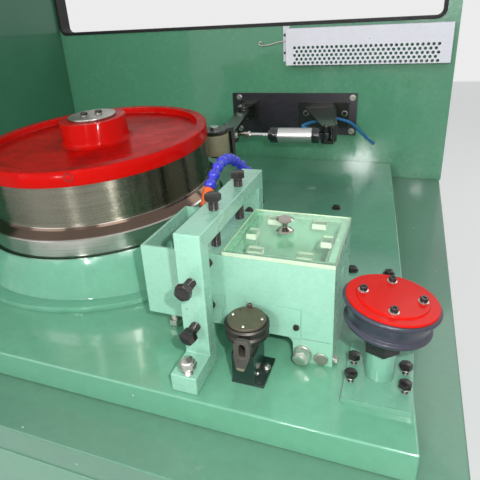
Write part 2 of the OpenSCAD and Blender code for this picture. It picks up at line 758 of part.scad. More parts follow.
// Cast lever: a hub under the roller and an upright leg in front of it, with its slot and bare tip.
lever_hub_r = 24;
lever_t = sensor_h - 4 - (bracket_top - deck_h);
leg_t = 9;
lever_y = sensor_y - sensor_r - run_gap - leg_t;
leg_x0 = sensor_x - 6;
leg_x1 = sensor_x + 23;
leg_tip_x = sensor_x + 4;
leg_z0 = deck_h + 43;
leg_z1 = deck_h + 106;
slot_r = 6;
leg_slot_x = sensor_x + 8.5;
leg_slot_z0 = deck_h + 75;
leg_slot_z1 = deck_h + 94;
sensor_pin_r = 8;
module sensor_lever() {
    color([0.3, 0.29, 0.26]) {
        translate([sensor_x, sensor_y, bracket_top]) cylinder(r = lever_hub_r, h = lever_t);
        translate([sensor_x, sensor_y, bracket_top])
            cylinder(r = sensor_pin_r, h = sensor_h + sensor_roller_h - 4 - bracket_top + deck_h);
        translate([sensor_x, sensor_y, bracket_top + lever_t - 1])
            cylinder(r = sensor_pin_r + 5, h = 5 - seat);
        upright(lever_y, leg_t) difference() {
            polygon([[leg_x0 + 4, leg_z1], [leg_x0, leg_z1 - 8], [leg_x0 - 1, leg_z0 + 24],
                [leg_tip_x - 8, leg_z0 + 4], [leg_tip_x - 5, leg_z0], [leg_tip_x + 5, leg_z0],
                [leg_tip_x + 8, leg_z0 + 4], [leg_x1 - 4, leg_z0 + 24], [leg_x1, leg_z0 + 42],
                [leg_x1, leg_z1 - 8], [leg_x1 - 4, leg_z1]]);
            translate([leg_slot_x - slot_r, leg_slot_z0]) square([2 * slot_r, leg_slot_z1 - leg_slot_z0]);
            for (z = [leg_slot_z0, leg_slot_z1]) translate([leg_slot_x, z]) circle(slot_r, $fn = 32);
        }
        translate([leg_x0 + 1, lever_y + 1, bracket_top])
            cube([leg_x1 - leg_x0 - 5, sensor_y - lever_y - 1, lever_t]);
    }
}

// Small grooved sensing roller.
module sensor_roller() {
    color([0.3, 0.28, 0.26]) translate([sensor_x, sensor_y, deck_h + sensor_h]) difference() {
        rotate_extrude($fn = 96)
            polygon([[0, 0], [sensor_r - 10, 0], [sensor_r - 4, 2], [sensor_r - 1, 6],
                [sensor_r - 1, sensor_roller_h / 2 - 4], [sensor_r - 5, sensor_roller_h / 2],
                [sensor_r, sensor_roller_h / 2 + 4], [sensor_r, sensor_roller_h - 3],
                [sensor_r - 3, sensor_roller_h], [0, sensor_roller_h]]);
        translate([0, 0, -1]) cylinder(r = sensor_pin_r + fit, h = sensor_roller_h - 1);
    }
}

// Olive cover disc of the sensing roller.
module sensor_cover() {
    color([0.36, 0.35, 0.24]) translate([sensor_x, sensor_y, deck_h + sensor_h + sensor_roller_h])
        cylinder(r1 = sensor_r - 5, r2 = sensor_r - 6, h = 5, $fn = 72);
}

// Black plate bolted to the back wall behind the arm and the cylinder.
module wall_plate() {
    color([0.2, 0.19, 0.22])
        upright(plate_y, plate_t) translate([plate_x0, deck_h + plate_z0]) rounded(plate_l, plate_h, 3);
}

// Two lugs and the pin that carry the press arm on the wall plate.
arm_z = deck_h + arm_h;
hub_h = 32;
hub_z1 = arm_z + arm_t + 2;
hub_z0 = hub_z1 - hub_h;
lug_t = 10;
lug_gap = 2;
lug_r = 26;
module hinge_lug(z) {
    translate([hinge_x, hinge_y, z]) cylinder(r = lug_r, h = lug_t);
    translate([hinge_x - lug_r, hinge_y, z]) cube([2 * lug_r, plate_y - hinge_y, lug_t]);
}
module hinge_bracket() {
    color([0.13, 0.14, 0.14]) {
        hinge_lug(hub_z1 + lug_gap);
        hinge_lug(hub_z0 - lug_gap - lug_t);
        translate([hinge_x - 40, plate_y - 10, hub_z0 - 22]) cube([80, 10, hub_h + 44]);
        translate([hinge_x, hinge_y, hub_z0 - lug_gap - lug_t - 3])
            cylinder(r = pin_r, h = hub_h + 2 * lug_gap + 2 * lug_t + 8);
    }
}

// Rear bracket of the air cylinder: sub-plate, gusset, web, two ears and the pivot pin.
cyl_z = deck_h + cyl_h;
sub_x0 = pivot_x - 170;
sub_w = 208;
sub_t = 12;
sub_h = 104;
sub_drop = 44;
gusset_x0 = sub_x0 + 30;
gusset_x1 = sub_x0 + 148;
sub_y = plate_y - sub_t;
eye_r = 17;
eye_h = 24;
ear_t = 10;
ear_gap = 4;
gusset_z = cyl_z + barrel_r + 5;
gusset_t = 6;
web_in = eye_r + run_gap;
web_t = 7;
web_low = cyl_z - eye_h / 2 - ear_gap - ear_t;
web_high = gusset_z + gusset_t + 1;
web_run = [gusset_x1 - pivot_x - web_in - web_t, sub_y + 1 - pivot_y - eye_r];
web_l = norm(web_run);
web_dir = atan2(web_run[1], web_run[0]);
module rear_bracket() {
    color([0.1, 0.11, 0.11]) {
        upright(sub_y, sub_t) translate([sub_x0, cyl_z - sub_drop]) rounded(sub_w, sub_h, 3);
        translate([0, 0, gusset_z]) linear_extrude(gusset_t) {
            polygon([[gusset_x0, sub_y + 1], [gusset_x1, sub_y + 1], [pivot_x + web_in + web_t, pivot_y],
                [pivot_x, pivot_y - eye_r], [pivot_x - eye_r, pivot_y]]);
            translate([pivot_x, pivot_y]) circle(eye_r);
        }
        translate([pivot_x, pivot_y, cyl_z + eye_h / 2 + ear_gap])
            cylinder(r = 14, h = gusset_z - cyl_z - eye_h / 2 - ear_gap);
        translate([0, 0, cyl_z - eye_h / 2 - ear_gap - ear_t]) linear_extrude(ear_t) {
            translate([pivot_x, pivot_y]) circle(eye_r);
            translate([pivot_x, pivot_y - eye_r]) square([web_in + web_t, 2 * eye_r]);
        }
        translate([pivot_x + web_in, pivot_y - eye_r, cyl_z - eye_h / 2 - ear_gap - ear_t + 1])
            cube([web_t, 2 * eye_r, gusset_z - cyl_z + eye_h / 2 + ear_gap + ear_t + 1]);
        translate([pivot_x + web_in + web_t, pivot_y + eye_r - 3, 0]) rotate([90, 0, web_dir])
            linear_extrude(web_t) polygon([[0, web_low + 2], [0, web_high], [web_l * 0.55, web_high],
                [web_l, web_high + 20], [web_l, gusset_z + 2],
                [eye_r + 30, gusset_z + 2], [eye_r, web_low + 2]]);
        translate([pivot_x, pivot_y, cyl_z - eye_h / 2 - ear_gap - ear_t - 3])
            cylinder(r = pin_r, h = gusset_z - cyl_z + eye_h / 2 + ear_gap + ear_t + gusset_t + 7);
    }
}

// The press roller stands parallel to the block axis, just clear of the wire-bearing face.
roller_gap = 5;
roller_reach = drum_r + roller_gap + roller_r;
roller_z0 = face_z0 + 2;
module on_roller() {
    on_block() rotate([0, 0, roller_dir]) translate([roller_reach, 0, roller_z0]) children();
}
roller_x = block_x + roller_reach * cos(roller_dir) - (roller_z0 + roller_l / 2) * sin(tilt_left);
roller_y = block_y + roller_reach * sin(roller_dir) - (roller_z0 + roller_l / 2) * sin(tilt_front);

// Press arm: hub, flat bar, fork round the roller, and the lugs of the rod-end pin.
arm_len = norm([roller_x - hinge_x, roller_y - hinge_y]);
arm_dir = atan2(roller_y - hinge_y, roller_x - hinge_x);
hub_r = 24;
fork_t = 10;
fork_gap = 3;
fork_web = roller_r + run_gap;
fork_web_t = 9;
bar_end = arm_len - fork_web - 4;
rod_lug_t = 12;
rod_lug_gap = 4;
rod_end_h = 18;
rod_pin_r = 7;
rod_lug_z1 = cyl_z + rod_end_h / 2 + rod_lug_gap;
rod_lug_z0 = cyl_z - rod_end_h / 2 - rod_lug_gap - rod_lug_t;
fork_low = -11;
fork_low_t = 8;
fork_high = roller_l + fork_gap;
module fork_plate(z, t, r, w) {
    translate([0, 0, z]) linear_extrude(t) difference() {
        union() {
            circle(r);
            translate([0, -w / 2]) square([fork_web + 1, w]);
        }
        circle(pin_r);
    }
}
module press_arm() {
    color([0.13, 0.14, 0.13]) {
        difference() {
            union() {
                translate([hinge_x, hinge_y, hub_z0]) cylinder(r = hub_r, h = hub_h);
                translate([hinge_x, hinge_y, arm_z]) rotate([0, 0, arm_dir])
                    translate([0, -arm_w / 2, 0]) cube([bar_end, arm_w, arm_t]);
            }
            translate([hinge_x, hinge_y, hub_z0 - 1]) cylinder(r = pin_r + fit, h = hub_h + 2);
        }
        on_roller() {
            fork_plate(fork_high, fork_t, roller_r - 3, 40);
            fork_plate(fork_low, fork_low_t, 20, 24);
            translate([fork_web, -20, fork_low]) cube([fork_web_t, 60, fork_high + fork_t - fork_low]);
        }
        translate([rod_pin_x, rod_pin_y, rod_lug_z1]) cylinder(r = 13, h = arm_z - rod_lug_z1 + 2);
        translate([0, 0, rod_lug_z0]) linear_extrude(rod_lug_t) {
            translate([rod_pin_x, rod_pin_y]) circle(13);
            translate([rod_pin_x - 29, rod_pin_y - 13]) square([29, 26]);
        }
        translate([rod_pin_x - 29, rod_pin_y - 11, rod_lug_z0 + 2])
            cube([8, 22, arm_z - rod_lug_z0 + 3]);
        translate([rod_pin_x, rod_pin_y, rod_lug_z0 - 3]) cylinder(r = rod_pin_r, h = arm_z - rod_lug_z0 + 6);
    }
}

// Chrome axle bolt of the press roller.
module roller_axle() {
    color("silver") on_roller() {
        translate([0, 0, -11]) cylinder(r = pin_r - seat / 3, h = roller_l + fork_gap + fork_t + 11);
        translate([0, 0, -3]) cylinder(r = 14, h = 3 - seat);
        translate([0, 0, roller_l + fork_gap + fork_t]) cylinder(r = 14, h = 8, $fn = 6);
    }
}

// Tan press roller.
module press_roller() {
    color([0.56, 0.55, 0.42]) on_roller() difference() {
        rotate_extrude($fn = 96)
            polygon([[0, 0], [roller_r - 1.5, 0], [roller_r, 1.5], [roller_r, roller_l - 1.5],
                [roller_r - 1.5, roller_l], [0, roller_l]]);
        translate([0, 0, -1]) cylinder(r = pin_r - seat / 3 + fit, h = roller_l + 2);
    }
}

// The cylinder's own frame: X runs from the rear pivot to the rod-end pin.
stroke_len = norm([rod_pin_x - pivot_x, rod_pin_y - pivot_y]);
cyl_dir = atan2(rod_pin_y - pivot_y, rod_pin_x - pivot_x);
rear_cap_x0 = 23;
rear_cap_l = 26;
front_cap_l = 28;
barrel_x0 = rear_cap_x0 + rear_cap_l;
front_cap_x0 = barrel_x0 + barrel_l;
front_cap_x1 = front_cap_x0 + front_cap_l;
bore_r = barrel_r - 3;
module on_cylinder() {
    translate([pivot_x, pivot_y, cyl_z]) rotate([0, 0, cyl_dir]) children();
}
module along_x(x, r, l) {
    translate([x, 0, 0]) rotate([0, 90, 0]) cylinder(r = r, h = l);
}
module cylinder_barrel() {
    color("silver") on_cylinder() difference() {
        along_x(barrel_x0, barrel_r, barrel_l);
        along_x(barrel_x0 - 1, bore_r, barrel_l + 2);
    }
}

// Black end caps, with the rear eye, the front bush and the port boss.
port_x = barrel_x0 - rear_cap_l / 2;
module cylinder_caps() {
    color([0.1, 0.11, 0.13]) on_cylinder() {
        difference() {
            union() {
                along_x(rear_cap_x0, barrel_r, rear_cap_l);
                translate([0, 0, -eye_h / 2]) cylinder(r = eye_r, h = eye_h);
                translate([0, -12, -eye_h / 2]) cube([rear_cap_x0 + 1, 24, eye_h]);
                translate([port_x, 0, 0]) rotate([90, 0, 0]) cylinder(r = 9, h = barrel_r + 5);
            }
            translate([0, 0, -eye_h]) cylinder(r = pin_r + fit, h = 2 * eye_h);
        }
        difference() {
            union() {
                along_x(front_cap_x0, barrel_r, front_cap_l);
                along_x(front_cap_x1 - 1, barrel_r - 9, 9);
            }
            along_x(front_cap_x0 - 1, rod_r + fit, front_cap_l + 12);
        }
    }
}

// Chrome piston rod with its piston inside the barrel.
rod_end_l = 60;
rod_x1 = stroke_len - rod_end_l;
piston_x0 = barrel_x0 + 85;
module piston_rod() {
    color("gainsboro") on_cylinder() {
        along_x(piston_x0, rod_r, rod_x1 - piston_x0);
        along_x(piston_x0, bore_r - fit, 12);
    }
}

// Nickel-plated rod end with its lock nut and eye.
module rod_end() {
    color("silver") on_cylinder() difference() {
        union() {
            along_x(rod_x1, rod_r + 3, rod_end_l - 12);
            along_x(rod_x1, 14, 10);
            translate([stroke_len, 0, -rod_end_h / 2]) cylinder(r = 15, h = rod_end_h);
        }
        translate([stroke_len, 0, -rod_end_h]) cylinder(r = rod_pin_r + rod_pin_gap, h = 2 * rod_end_h);
    }
}

// Blue air tube from the port on the rear cap to the hole in the back wall.
port_gap = 1.5;
cyl_u = [cos(cyl_dir), sin(cyl_dir), 0];
port_v = [sin(cyl_dir), -cos(cyl_dir), 0];
tube_start = [pivot_x, pivot_y, cyl_z] + port_x * cyl_u + (barrel_r + 5 + port_gap) * port_v;
tube_end = [pivot_x + 141, deck_y1 - seat, cyl_z - 104];
tube_pass = gusset_z - tube_r - 6;
tube_under = [pivot_x, pivot_y, tube_pass];
tube_down = [pivot_x, pivot_y, cyl_z];
tube_points = [tube_start, tube_start + [-4, 12, 1], tube_start + [-26, 21, 7], tube_start + [-50, 24, 13],
    tube_under + [-97, 65, -3], tube_under + [-84, 91, 0], tube_under + [-62, 134, 0],
    tube_under + [-33, 176, 0], tube_under + [0, 207, -4], tube_under + [29, 220, -13],
    tube_down + [60, 234, -8], tube_down + [103, 263, -56], tube_down + [130, 289, -90],
    [tube_end[0], deck_y1 - 24, tube_end[2] + 2], [tube_end[0], deck_y1 - 16, tube_end[2]],
    [tube_end[0], deck_y1 - 8, tube_end[2]], tube_end];
module air_tube() {
    color([0.19, 0.53, 0.78]) sweep(route(tube_points, 4), tube_r, 12, [0, 0, 1]);
}

// Stand pipe of the jointed hose, screwed into the deck.
stand_x = box_x0 + 89;
stand_y = box_y1 + 212;
ball_z = deck_h + 200;
stand_top = ball_z - ball_r - seat;
module hose_stand() {
    color([0.2, 0.2, 0.2]) {
        translate([stand_x, stand_y, deck_h]) cylinder(r = 8, h = stand_top - deck_h);
        translate([stand_x, stand_y, deck_h]) cylinder(r = 18, h = 14, $fn = 6);
        translate([stand_x, stand_y, stand_top - 18]) cylinder(r = 13, h = 18);
    }
}

// Jointed blue hose made of snapped ball segments.
hose_root = [stand_x, stand_y, ball_z];
hose_points = [for (step = [[0, 0, 0], [-8, -3, 24], [-18, -22, 46], [-23, -48, 64], [-24, -76, 78],
    [-24, -104, 86], [-24, -132, 88], [-24, -160, 84], [-24, -185, 73], [-24, -208, 59]])
    hose_root + step];
module from_to(a, b) {
    v = b - a;
    translate(a) rotate([0, acos(v[2] / norm(v)), atan2(v[1], v[0])]) children();
}
module coolant_hose() {
    color([0.29, 0.33, 0.83]) {
        for (p = hose_points) translate(p) sphere(r = ball_r, $fn = 32);
        for (i = [0 : len(hose_points) - 2]) from_to(hose_points[i], hose_points[i + 1])
            cylinder(r = ball_r - 4, h = norm(hose_points[i + 1] - hose_points[i]), $fn = 32);
    }
}

// Orange nozzle at the end of the jointed hose.
nozzle_tip = hose_root + [-24, -254, 26];
nozzle_root = hose_points[len(hose_points) - 1];
module hose_nozzle() {
    color([0.94, 0.42, 0.19]) from_to(nozzle_root, nozzle_tip) translate([0, 0, ball_r + seat])
        cylinder(r1 = ball_r - 1, r2 = ball_r / 2, h = norm(nozzle_tip - nozzle_root) - ball_r);
}

// Pale sheet guard with five staggered rows of round holes, and its mounting flange.
guard_y0 = deck_y1 - guard_d;
guard_bottom = deck_h + guard_z0;
hole_margin = 35;
row_margin = 8.5;
holes_per_row = floor((guard_l - 2 * hole_margin) / hole_pitch) + 1;
module guard_box() {
    color([0.89, 0.88, 0.93]) {
        difference() {
            translate([guard_x0, guard_y0, guard_bottom]) cube([guard_l, guard_d, guard_h]);
            translate([guard_x0 + guard_t, guard_y0 + guard_t, guard_bottom + guard_t])
                cube([guard_l - 2 * guard_t, guard_d, guard_h - 2 * guard_t]);
            for (row = [0 : hole_rows - 1], i = [0 : holes_per_row - 1 - row % 2])
                translate([guard_x0 + hole_margin + (i + (row % 2) / 2) * hole_pitch, guard_y0 - 1,
                    guard_bottom + row_margin + row * row_pitch])
                    rotate([-90, 0, 0]) cylinder(r = hole_r, h = guard_t + 2, $fn = 24);
        }
        translate([guard_x0 - 25, deck_y1 - guard_t, guard_bottom + 9]) cube([26, guard_t, guard_h]);
    }
}

// Bent rod that hangs from the guard's flange.
hook_y = deck_y1 - guard_t - 3 - seat;
hook_root = [guard_x0, hook_y, guard_bottom + 89];
hook_points = [for (step = [[-2, 0], [-40, -3], [-65, -9], [-88, -14], [-110, -15], [-123, -13],
    [-127, -6], [-121, 0], [-113, -4]]) hook_root + [step[0], 0, step[1]]];
module hook_rod() {
    color("silver") sweep(route(hook_points, 3), 3, 10, [0, 1, 0]);
}

base_frame();
cabinet();
cover_panels();
deck();
back_wall();
side_wall();
window_trim();
pedestal();
drum_shaft();
drum_skirt();
drum_shell();
drum_flange();
drum_cap();
clamp_frame();
die_box();
die_holder();
box_foot();
jack_screw();
cover_plates();
box_lid();
lid_knob();
guide_base();
guide_nut();
guide_wheel();
guide_cap();
sensor_bracket();
sensor_lever();
sensor_roller();
sensor_cover();
wall_plate();
hinge_bracket();
rear_bracket();
press_arm();
roller_axle();
press_roller();
cylinder_barrel();
cylinder_caps();
piston_rod();
rod_end();
air_tube();
hose_stand();
coolant_hose();
hose_nozzle();
guard_box();
hook_rod();
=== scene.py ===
import math

import bmesh
import bpy
from mathutils import Euler, Matrix, Vector


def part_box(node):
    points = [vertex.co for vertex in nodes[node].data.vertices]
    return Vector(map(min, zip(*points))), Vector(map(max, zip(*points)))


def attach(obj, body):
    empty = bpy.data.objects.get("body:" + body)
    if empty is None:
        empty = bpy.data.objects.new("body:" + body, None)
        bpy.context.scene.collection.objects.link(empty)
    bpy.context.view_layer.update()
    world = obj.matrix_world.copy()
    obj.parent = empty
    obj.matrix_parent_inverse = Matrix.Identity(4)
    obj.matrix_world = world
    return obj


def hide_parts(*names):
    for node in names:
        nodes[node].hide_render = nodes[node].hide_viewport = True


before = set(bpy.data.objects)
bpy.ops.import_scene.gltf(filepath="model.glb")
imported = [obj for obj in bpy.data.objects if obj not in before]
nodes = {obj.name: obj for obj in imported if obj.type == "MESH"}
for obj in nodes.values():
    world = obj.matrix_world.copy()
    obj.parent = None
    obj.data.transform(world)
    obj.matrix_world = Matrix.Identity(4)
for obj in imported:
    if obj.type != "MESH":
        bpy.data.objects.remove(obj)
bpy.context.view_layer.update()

# Camera. The photograph was taken by someone who stands at the right front corner of the
# station and looks down at the die box. Place, turn and lens were fitted to the picture.
picture_px = 480
focal_px = 464.5
film_mm = 36.0
camera_place = Vector((0.750, -1.211, 1.466))
yaw = math.radians(21.338)
down = math.radians(23.076)
roll = math.radians(3.313)
camera_data = bpy.data.cameras.new("camera")
camera = bpy.data.objects.new("camera", camera_data)
scene = bpy.context.scene
scene.collection.objects.link(camera)
scene.camera = camera
camera_data.sensor_width = film_mm
camera_data.lens = focal_px / picture_px * film_mm
camera_data.shift_x = 0.0109
camera_data.shift_y = -0.061
camera_data.clip_end = 40
ahead = Vector((-math.sin(yaw) * math.cos(down), math.cos(yaw) * math.cos(down), -math.sin(down)))
level = Vector((math.cos(yaw), math.sin(yaw), 0))
above = level.cross(ahead)
right = level * math.cos(roll) - above * math.sin(roll)
up = level * math.sin(roll) + above * math.cos(roll)
camera_turn = Matrix((right, up, -ahead)).transposed()
camera.matrix_world = Matrix.Translation(camera_place) @ camera_turn.to_4x4()

# Studio. Large soft lamps stand over the operator's side, to the left and behind. A tiny one by
# the camera and a small one far in front put the narrow highlights on turned steel and gloss
# paint. The floor and the backdrop are plain and pale.
scene.view_settings.view_transform = "Standard"


def lamp(name, place, target, size, power, colour=(1, 1, 1)):
    data = bpy.data.lights.new(name, "AREA")
    data.shape = "DISK"
    data.size = size
    data.energy = power
    data.color = colour
    made = bpy.data.objects.new(name, data)
    scene.collection.objects.link(made)
    made.location = place
    made.rotation_euler = (Vector(target) - Vector(place)).to_track_quat("-Z", "Y").to_euler()


def put(tree, kind, inputs=(), **properties):
    made = tree.nodes.new(kind)
    for name, value in properties.items():
        setattr(made, name, value)
    for key, value in dict(inputs).items():
        if isinstance(value, bpy.types.NodeSocket):
            tree.links.new(value, made.inputs[key])
        else:
            made.inputs[key].default_value = value
    return made


def calc(tree, operation, a, b=0.0, clamp=False):
    return put(tree, "ShaderNodeMath", {0: a, 1: b}, operation=operation, use_clamp=clamp).outputs[0]


def seen_or_mirrored(tree):
    path = tree.nodes.new("ShaderNodeLightPath").outputs
    seen = calc(tree, "ADD", path["Is Camera Ray"], path["Is Glossy Ray"], clamp=True)
    return calc(tree, "ADD", seen, path["Is Transmission Ray"], clamp=True)


lamp("key_lamp", (1.5, -2.6, 3.3), (0.1, -0.2, 0.95), size=1.6, power=22)
lamp("fill_lamp", (-1.7, -3.0, 2.6), (-0.2, 0.2, 1.0), size=2.0, power=24, colour=(0.95, 0.98, 1))
lamp("back_lamp", (1.8, 2.6, 3.4), (0.1, 0.3, 0.9), size=1.8, power=16)
lamp("near_lamp", (0.855, -1.185, 1.55), (0.15, -0.25, 0.95), size=0.025, power=6.6)
lamp("front_lamp", (0.174, -3.53, 2.19), (0.3, 0.2, 0.95), size=0.36, power=30)
world = bpy.data.worlds.new("studio")
scene.world = world
world.use_nodes = True
sky = world.node_tree
sky.nodes.clear()
soft_light = put(sky, "ShaderNodeBackground", {"Color": (0.92, 0.96, 1, 1), "Strength": 0.32})
backdrop = put(sky, "ShaderNodeBackground", {"Color": (0.84, 0.84, 0.84, 1)})
shown = put(sky, "ShaderNodeMixShader", {0: seen_or_mirrored(sky), 1: soft_light.outputs[0],
                                         2: backdrop.outputs[0]})
put(sky, "ShaderNodeOutputWorld", {0: shown.outputs[0]})

floor_half = 9
floor_glow = 0.34
floor_corners = [(floor_half * x, floor_half * y, 0) for x, y in ((-1, -1), (1, -1), (1, 1), (-1, 1))]
floor_mesh = bpy.data.meshes.new("studio_floor")
floor_mesh.from_pydata(floor_corners, [], [(0, 1, 2, 3)])
floor = bpy.data.objects.new("studio_floor", floor_mesh)
scene.collection.objects.link(floor)
floor_paint = bpy.data.materials.new("pale_floor")
floor_paint.use_nodes = True
floor_tree = floor_paint.node_tree
floor_surface = floor_tree.nodes["Principled BSDF"].inputs
floor_surface["Base Color"].default_value = (0.8, 0.8, 0.79, 1)
floor_surface["Roughness"].default_value = 0.7
floor_surface["Emission Color"].default_value = (1, 1, 0.99, 1)
floor_tree.links.new(calc(floor_tree, "MULTIPLY", seen_or_mirrored(floor_tree), floor_glow),
                     floor_surface["Emission Strength"])
floor_mesh.materials.append(floor_paint)

# Plinth. A welded frame of heavy channel under the cabinet, with four anchor lugs, painted in
# dark green-grey enamel. All machine enamel is made here: sprayed a little unevenly, with a
# fine orange peel, rubbed at its edges, and greyed by soap dust and drawing oil.
FLOAT = "NodeSocketFloat"


def stretch(tree, value, low, high, to_low=0.0, to_high=1.0):
    return put(tree, "ShaderNodeMapRange", {0: value, 1: low, 2: high, 3: to_low, 4: to_high}).outputs[0]


def mingle(tree, share, first, second):
    first = (*first, 1) if isinstance(first, tuple) else first
    second = (*second, 1) if isinstance(second, tuple) else second
    return put(tree, "ShaderNodeMix", {0: share, 6: first, 7: second}, data_type="RGBA").outputs[2]


def clouded(tree, cloud, first, second):
    return mingle(tree, stretch(tree, cloud, 0.15, 0.38), first, second)


def speckle(tree, place, scale, detail=4.0, roughness=0.6):
    return put(tree, "ShaderNodeTexNoise", {"Vector": place, "Scale": scale, "Detail": detail,
                                            "Roughness": roughness}).outputs[0]


def object_place(tree):
    return tree.nodes.new("ShaderNodeTexCoord").outputs["Object"]


def shader_group(name, inputs, outputs):
    tree = bpy.data.node_groups.new(name, "ShaderNodeTree")
    for label, kind, value in inputs:
        tree.interface.new_socket(label, in_out="INPUT", socket_type=kind).default_value = value
    for label in outputs:
        tree.interface.new_socket(label, in_out="OUTPUT", socket_type=FLOAT)
    return tree, tree.nodes.new("NodeGroupInput").outputs, tree.nodes.new("NodeGroupOutput").inputs


def use_group(tree, group_tree, **values):
    made = tree.nodes.new("ShaderNodeGroup")
    made.node_tree = group_tree
    for name, value in values.items():
        made.inputs[name].default_value = value
    return made.outputs


# Worn edges show where a wide bevelled normal leaves the true one, broken up by noise.
edge_wear, given, shows = shader_group("edge_wear", (
    ("Radius", FLOAT, 0.002), ("Scale", FLOAT, 60.0), ("Amount", FLOAT, 0.4)), ("Mask",))
round_normal = put(edge_wear, "ShaderNodeBevel", {"Radius": given["Radius"]}, samples=6).outputs[0]
true_normal = edge_wear.nodes.new("ShaderNodeNewGeometry").outputs["Normal"]
facing_share = put(edge_wear, "ShaderNodeVectorMath", {0: round_normal, 1: true_normal},
                   operation="DOT_PRODUCT").outputs["Value"]
corner = calc(edge_wear, "MULTIPLY", calc(edge_wear, "SUBTRACT", 1.0, facing_share), 6.0)
grain = speckle(edge_wear, object_place(edge_wear), given["Scale"], detail=5.0, roughness=0.65)
spared = calc(edge_wear, "SUBTRACT", 1.0, given["Amount"])
worn = calc(edge_wear, "SUBTRACT", calc(edge_wear, "ADD", corner, grain), spared)
edge_wear.links.new(stretch(edge_wear, worn, 0.45, 0.75), shows["Mask"])

# Dirt gathers where surfaces meet, in two sizes of cloud.
shop_dirt, given, shows = shader_group("shop_dirt", (
    ("Scale", FLOAT, 6.0), ("Reach", FLOAT, 0.04), ("Amount", FLOAT, 0.4)), ("Mask", "Cloud"))
spot = object_place(shop_dirt)
broad = speckle(shop_dirt, spot, given["Scale"], detail=6.0)
fine_scale = calc(shop_dirt, "MULTIPLY", given["Scale"], 7.3)
fine = speckle(shop_dirt, spot, fine_scale, detail=3.0, roughness=0.7)
open_share = put(shop_dirt, "ShaderNodeAmbientOcclusion", {"Distance": given["Reach"]},
                 samples=6).outputs["AO"]
corner = calc(shop_dirt, "MULTIPLY", calc(shop_dirt, "SUBTRACT", 1.0, open_share), 1.3)
gathered = stretch(shop_dirt, calc(shop_dirt, "ADD", corner, broad), 0.62, 1.5)
shop_dirt.links.new(calc(shop_dirt, "MULTIPLY", gathered, given["Amount"]), shows["Mask"])
shop_dirt.links.new(calc(shop_dirt, "MULTIPLY", broad, fine), shows["Cloud"])

# Dust settles on what faces up, thinly and in patches. Given a dark colour, the same mask lays painted shade
# on what faces up, as on the red dish.
upward_dust_and_shade, given, shows = shader_group("upward_dust_and_shade", (
    ("Amount", FLOAT, 0.2), ("Scale", FLOAT, 9.0)), ("Mask",))
face_normal = upward_dust_and_shade.nodes.new("ShaderNodeNewGeometry").outputs["Normal"]
lie = put(upward_dust_and_shade, "ShaderNodeSeparateXYZ", {0: face_normal}).outputs[2]
flat = stretch(upward_dust_and_shade, lie, 0.6, 0.98)
drift = speckle(upward_dust_and_shade, object_place(upward_dust_and_shade), given["Scale"], detail=7.0, roughness=0.7)
patches = stretch(upward_dust_and_shade, drift, 0.35, 0.7)
lying = calc(upward_dust_and_shade, "MULTIPLY", flat, patches)
upward_dust_and_shade.links.new(calc(upward_dust_and_shade, "MULTIPLY", lying, given["Amount"]), shows["Mask"])

# Sprayed paint skin: long waves of the sheet, fine orange peel, and a few pale chips.
paint_skin, given, shows = shader_group("paint_skin", (
    ("Waves", FLOAT, 0.5), ("Peel", FLOAT, 0.3), ("Chips", FLOAT, 0.5)), ("Height", "Specks"))
spot = object_place(paint_skin)
waves = calc(paint_skin, "MULTIPLY", speckle(paint_skin, spot, 14.0, detail=2.0), given["Waves"])
peel = calc(paint_skin, "MULTIPLY", speckle(paint_skin, spot, 190.0, detail=2.0), given["Peel"])
ripple_size = calc(paint_skin, "MULTIPLY", given["Waves"], 0.35)
ripple = calc(paint_skin, "MULTIPLY", speckle(paint_skin, spot, 55.0, detail=2.0), ripple_size)
cells = put(paint_skin, "ShaderNodeTexVoronoi", {"Vector": spot, "Scale": 34.0}).outputs
near_chip = stretch(paint_skin, cells["Distance"], 0.085, 0.05)
which = put(paint_skin, "ShaderNodeSeparateXYZ", {0: cells["Color"]}).outputs[0]
chosen = calc(paint_skin, "GREATER_THAN", which, calc(paint_skin, "SUBTRACT", 1.0, given["Chips"]))
chips = calc(paint_skin, "MULTIPLY", near_chip, chosen)
skin_height = calc(paint_skin, "ADD", calc(paint_skin, "ADD", waves, ripple), peel)
chip_depth = calc(paint_skin, "MULTIPLY", chips, 0.15)
paint_skin.links.new(calc(paint_skin, "SUBTRACT", skin_height, chip_depth), shows["Height"])
paint_skin.links.new(chips, shows["Specks"])


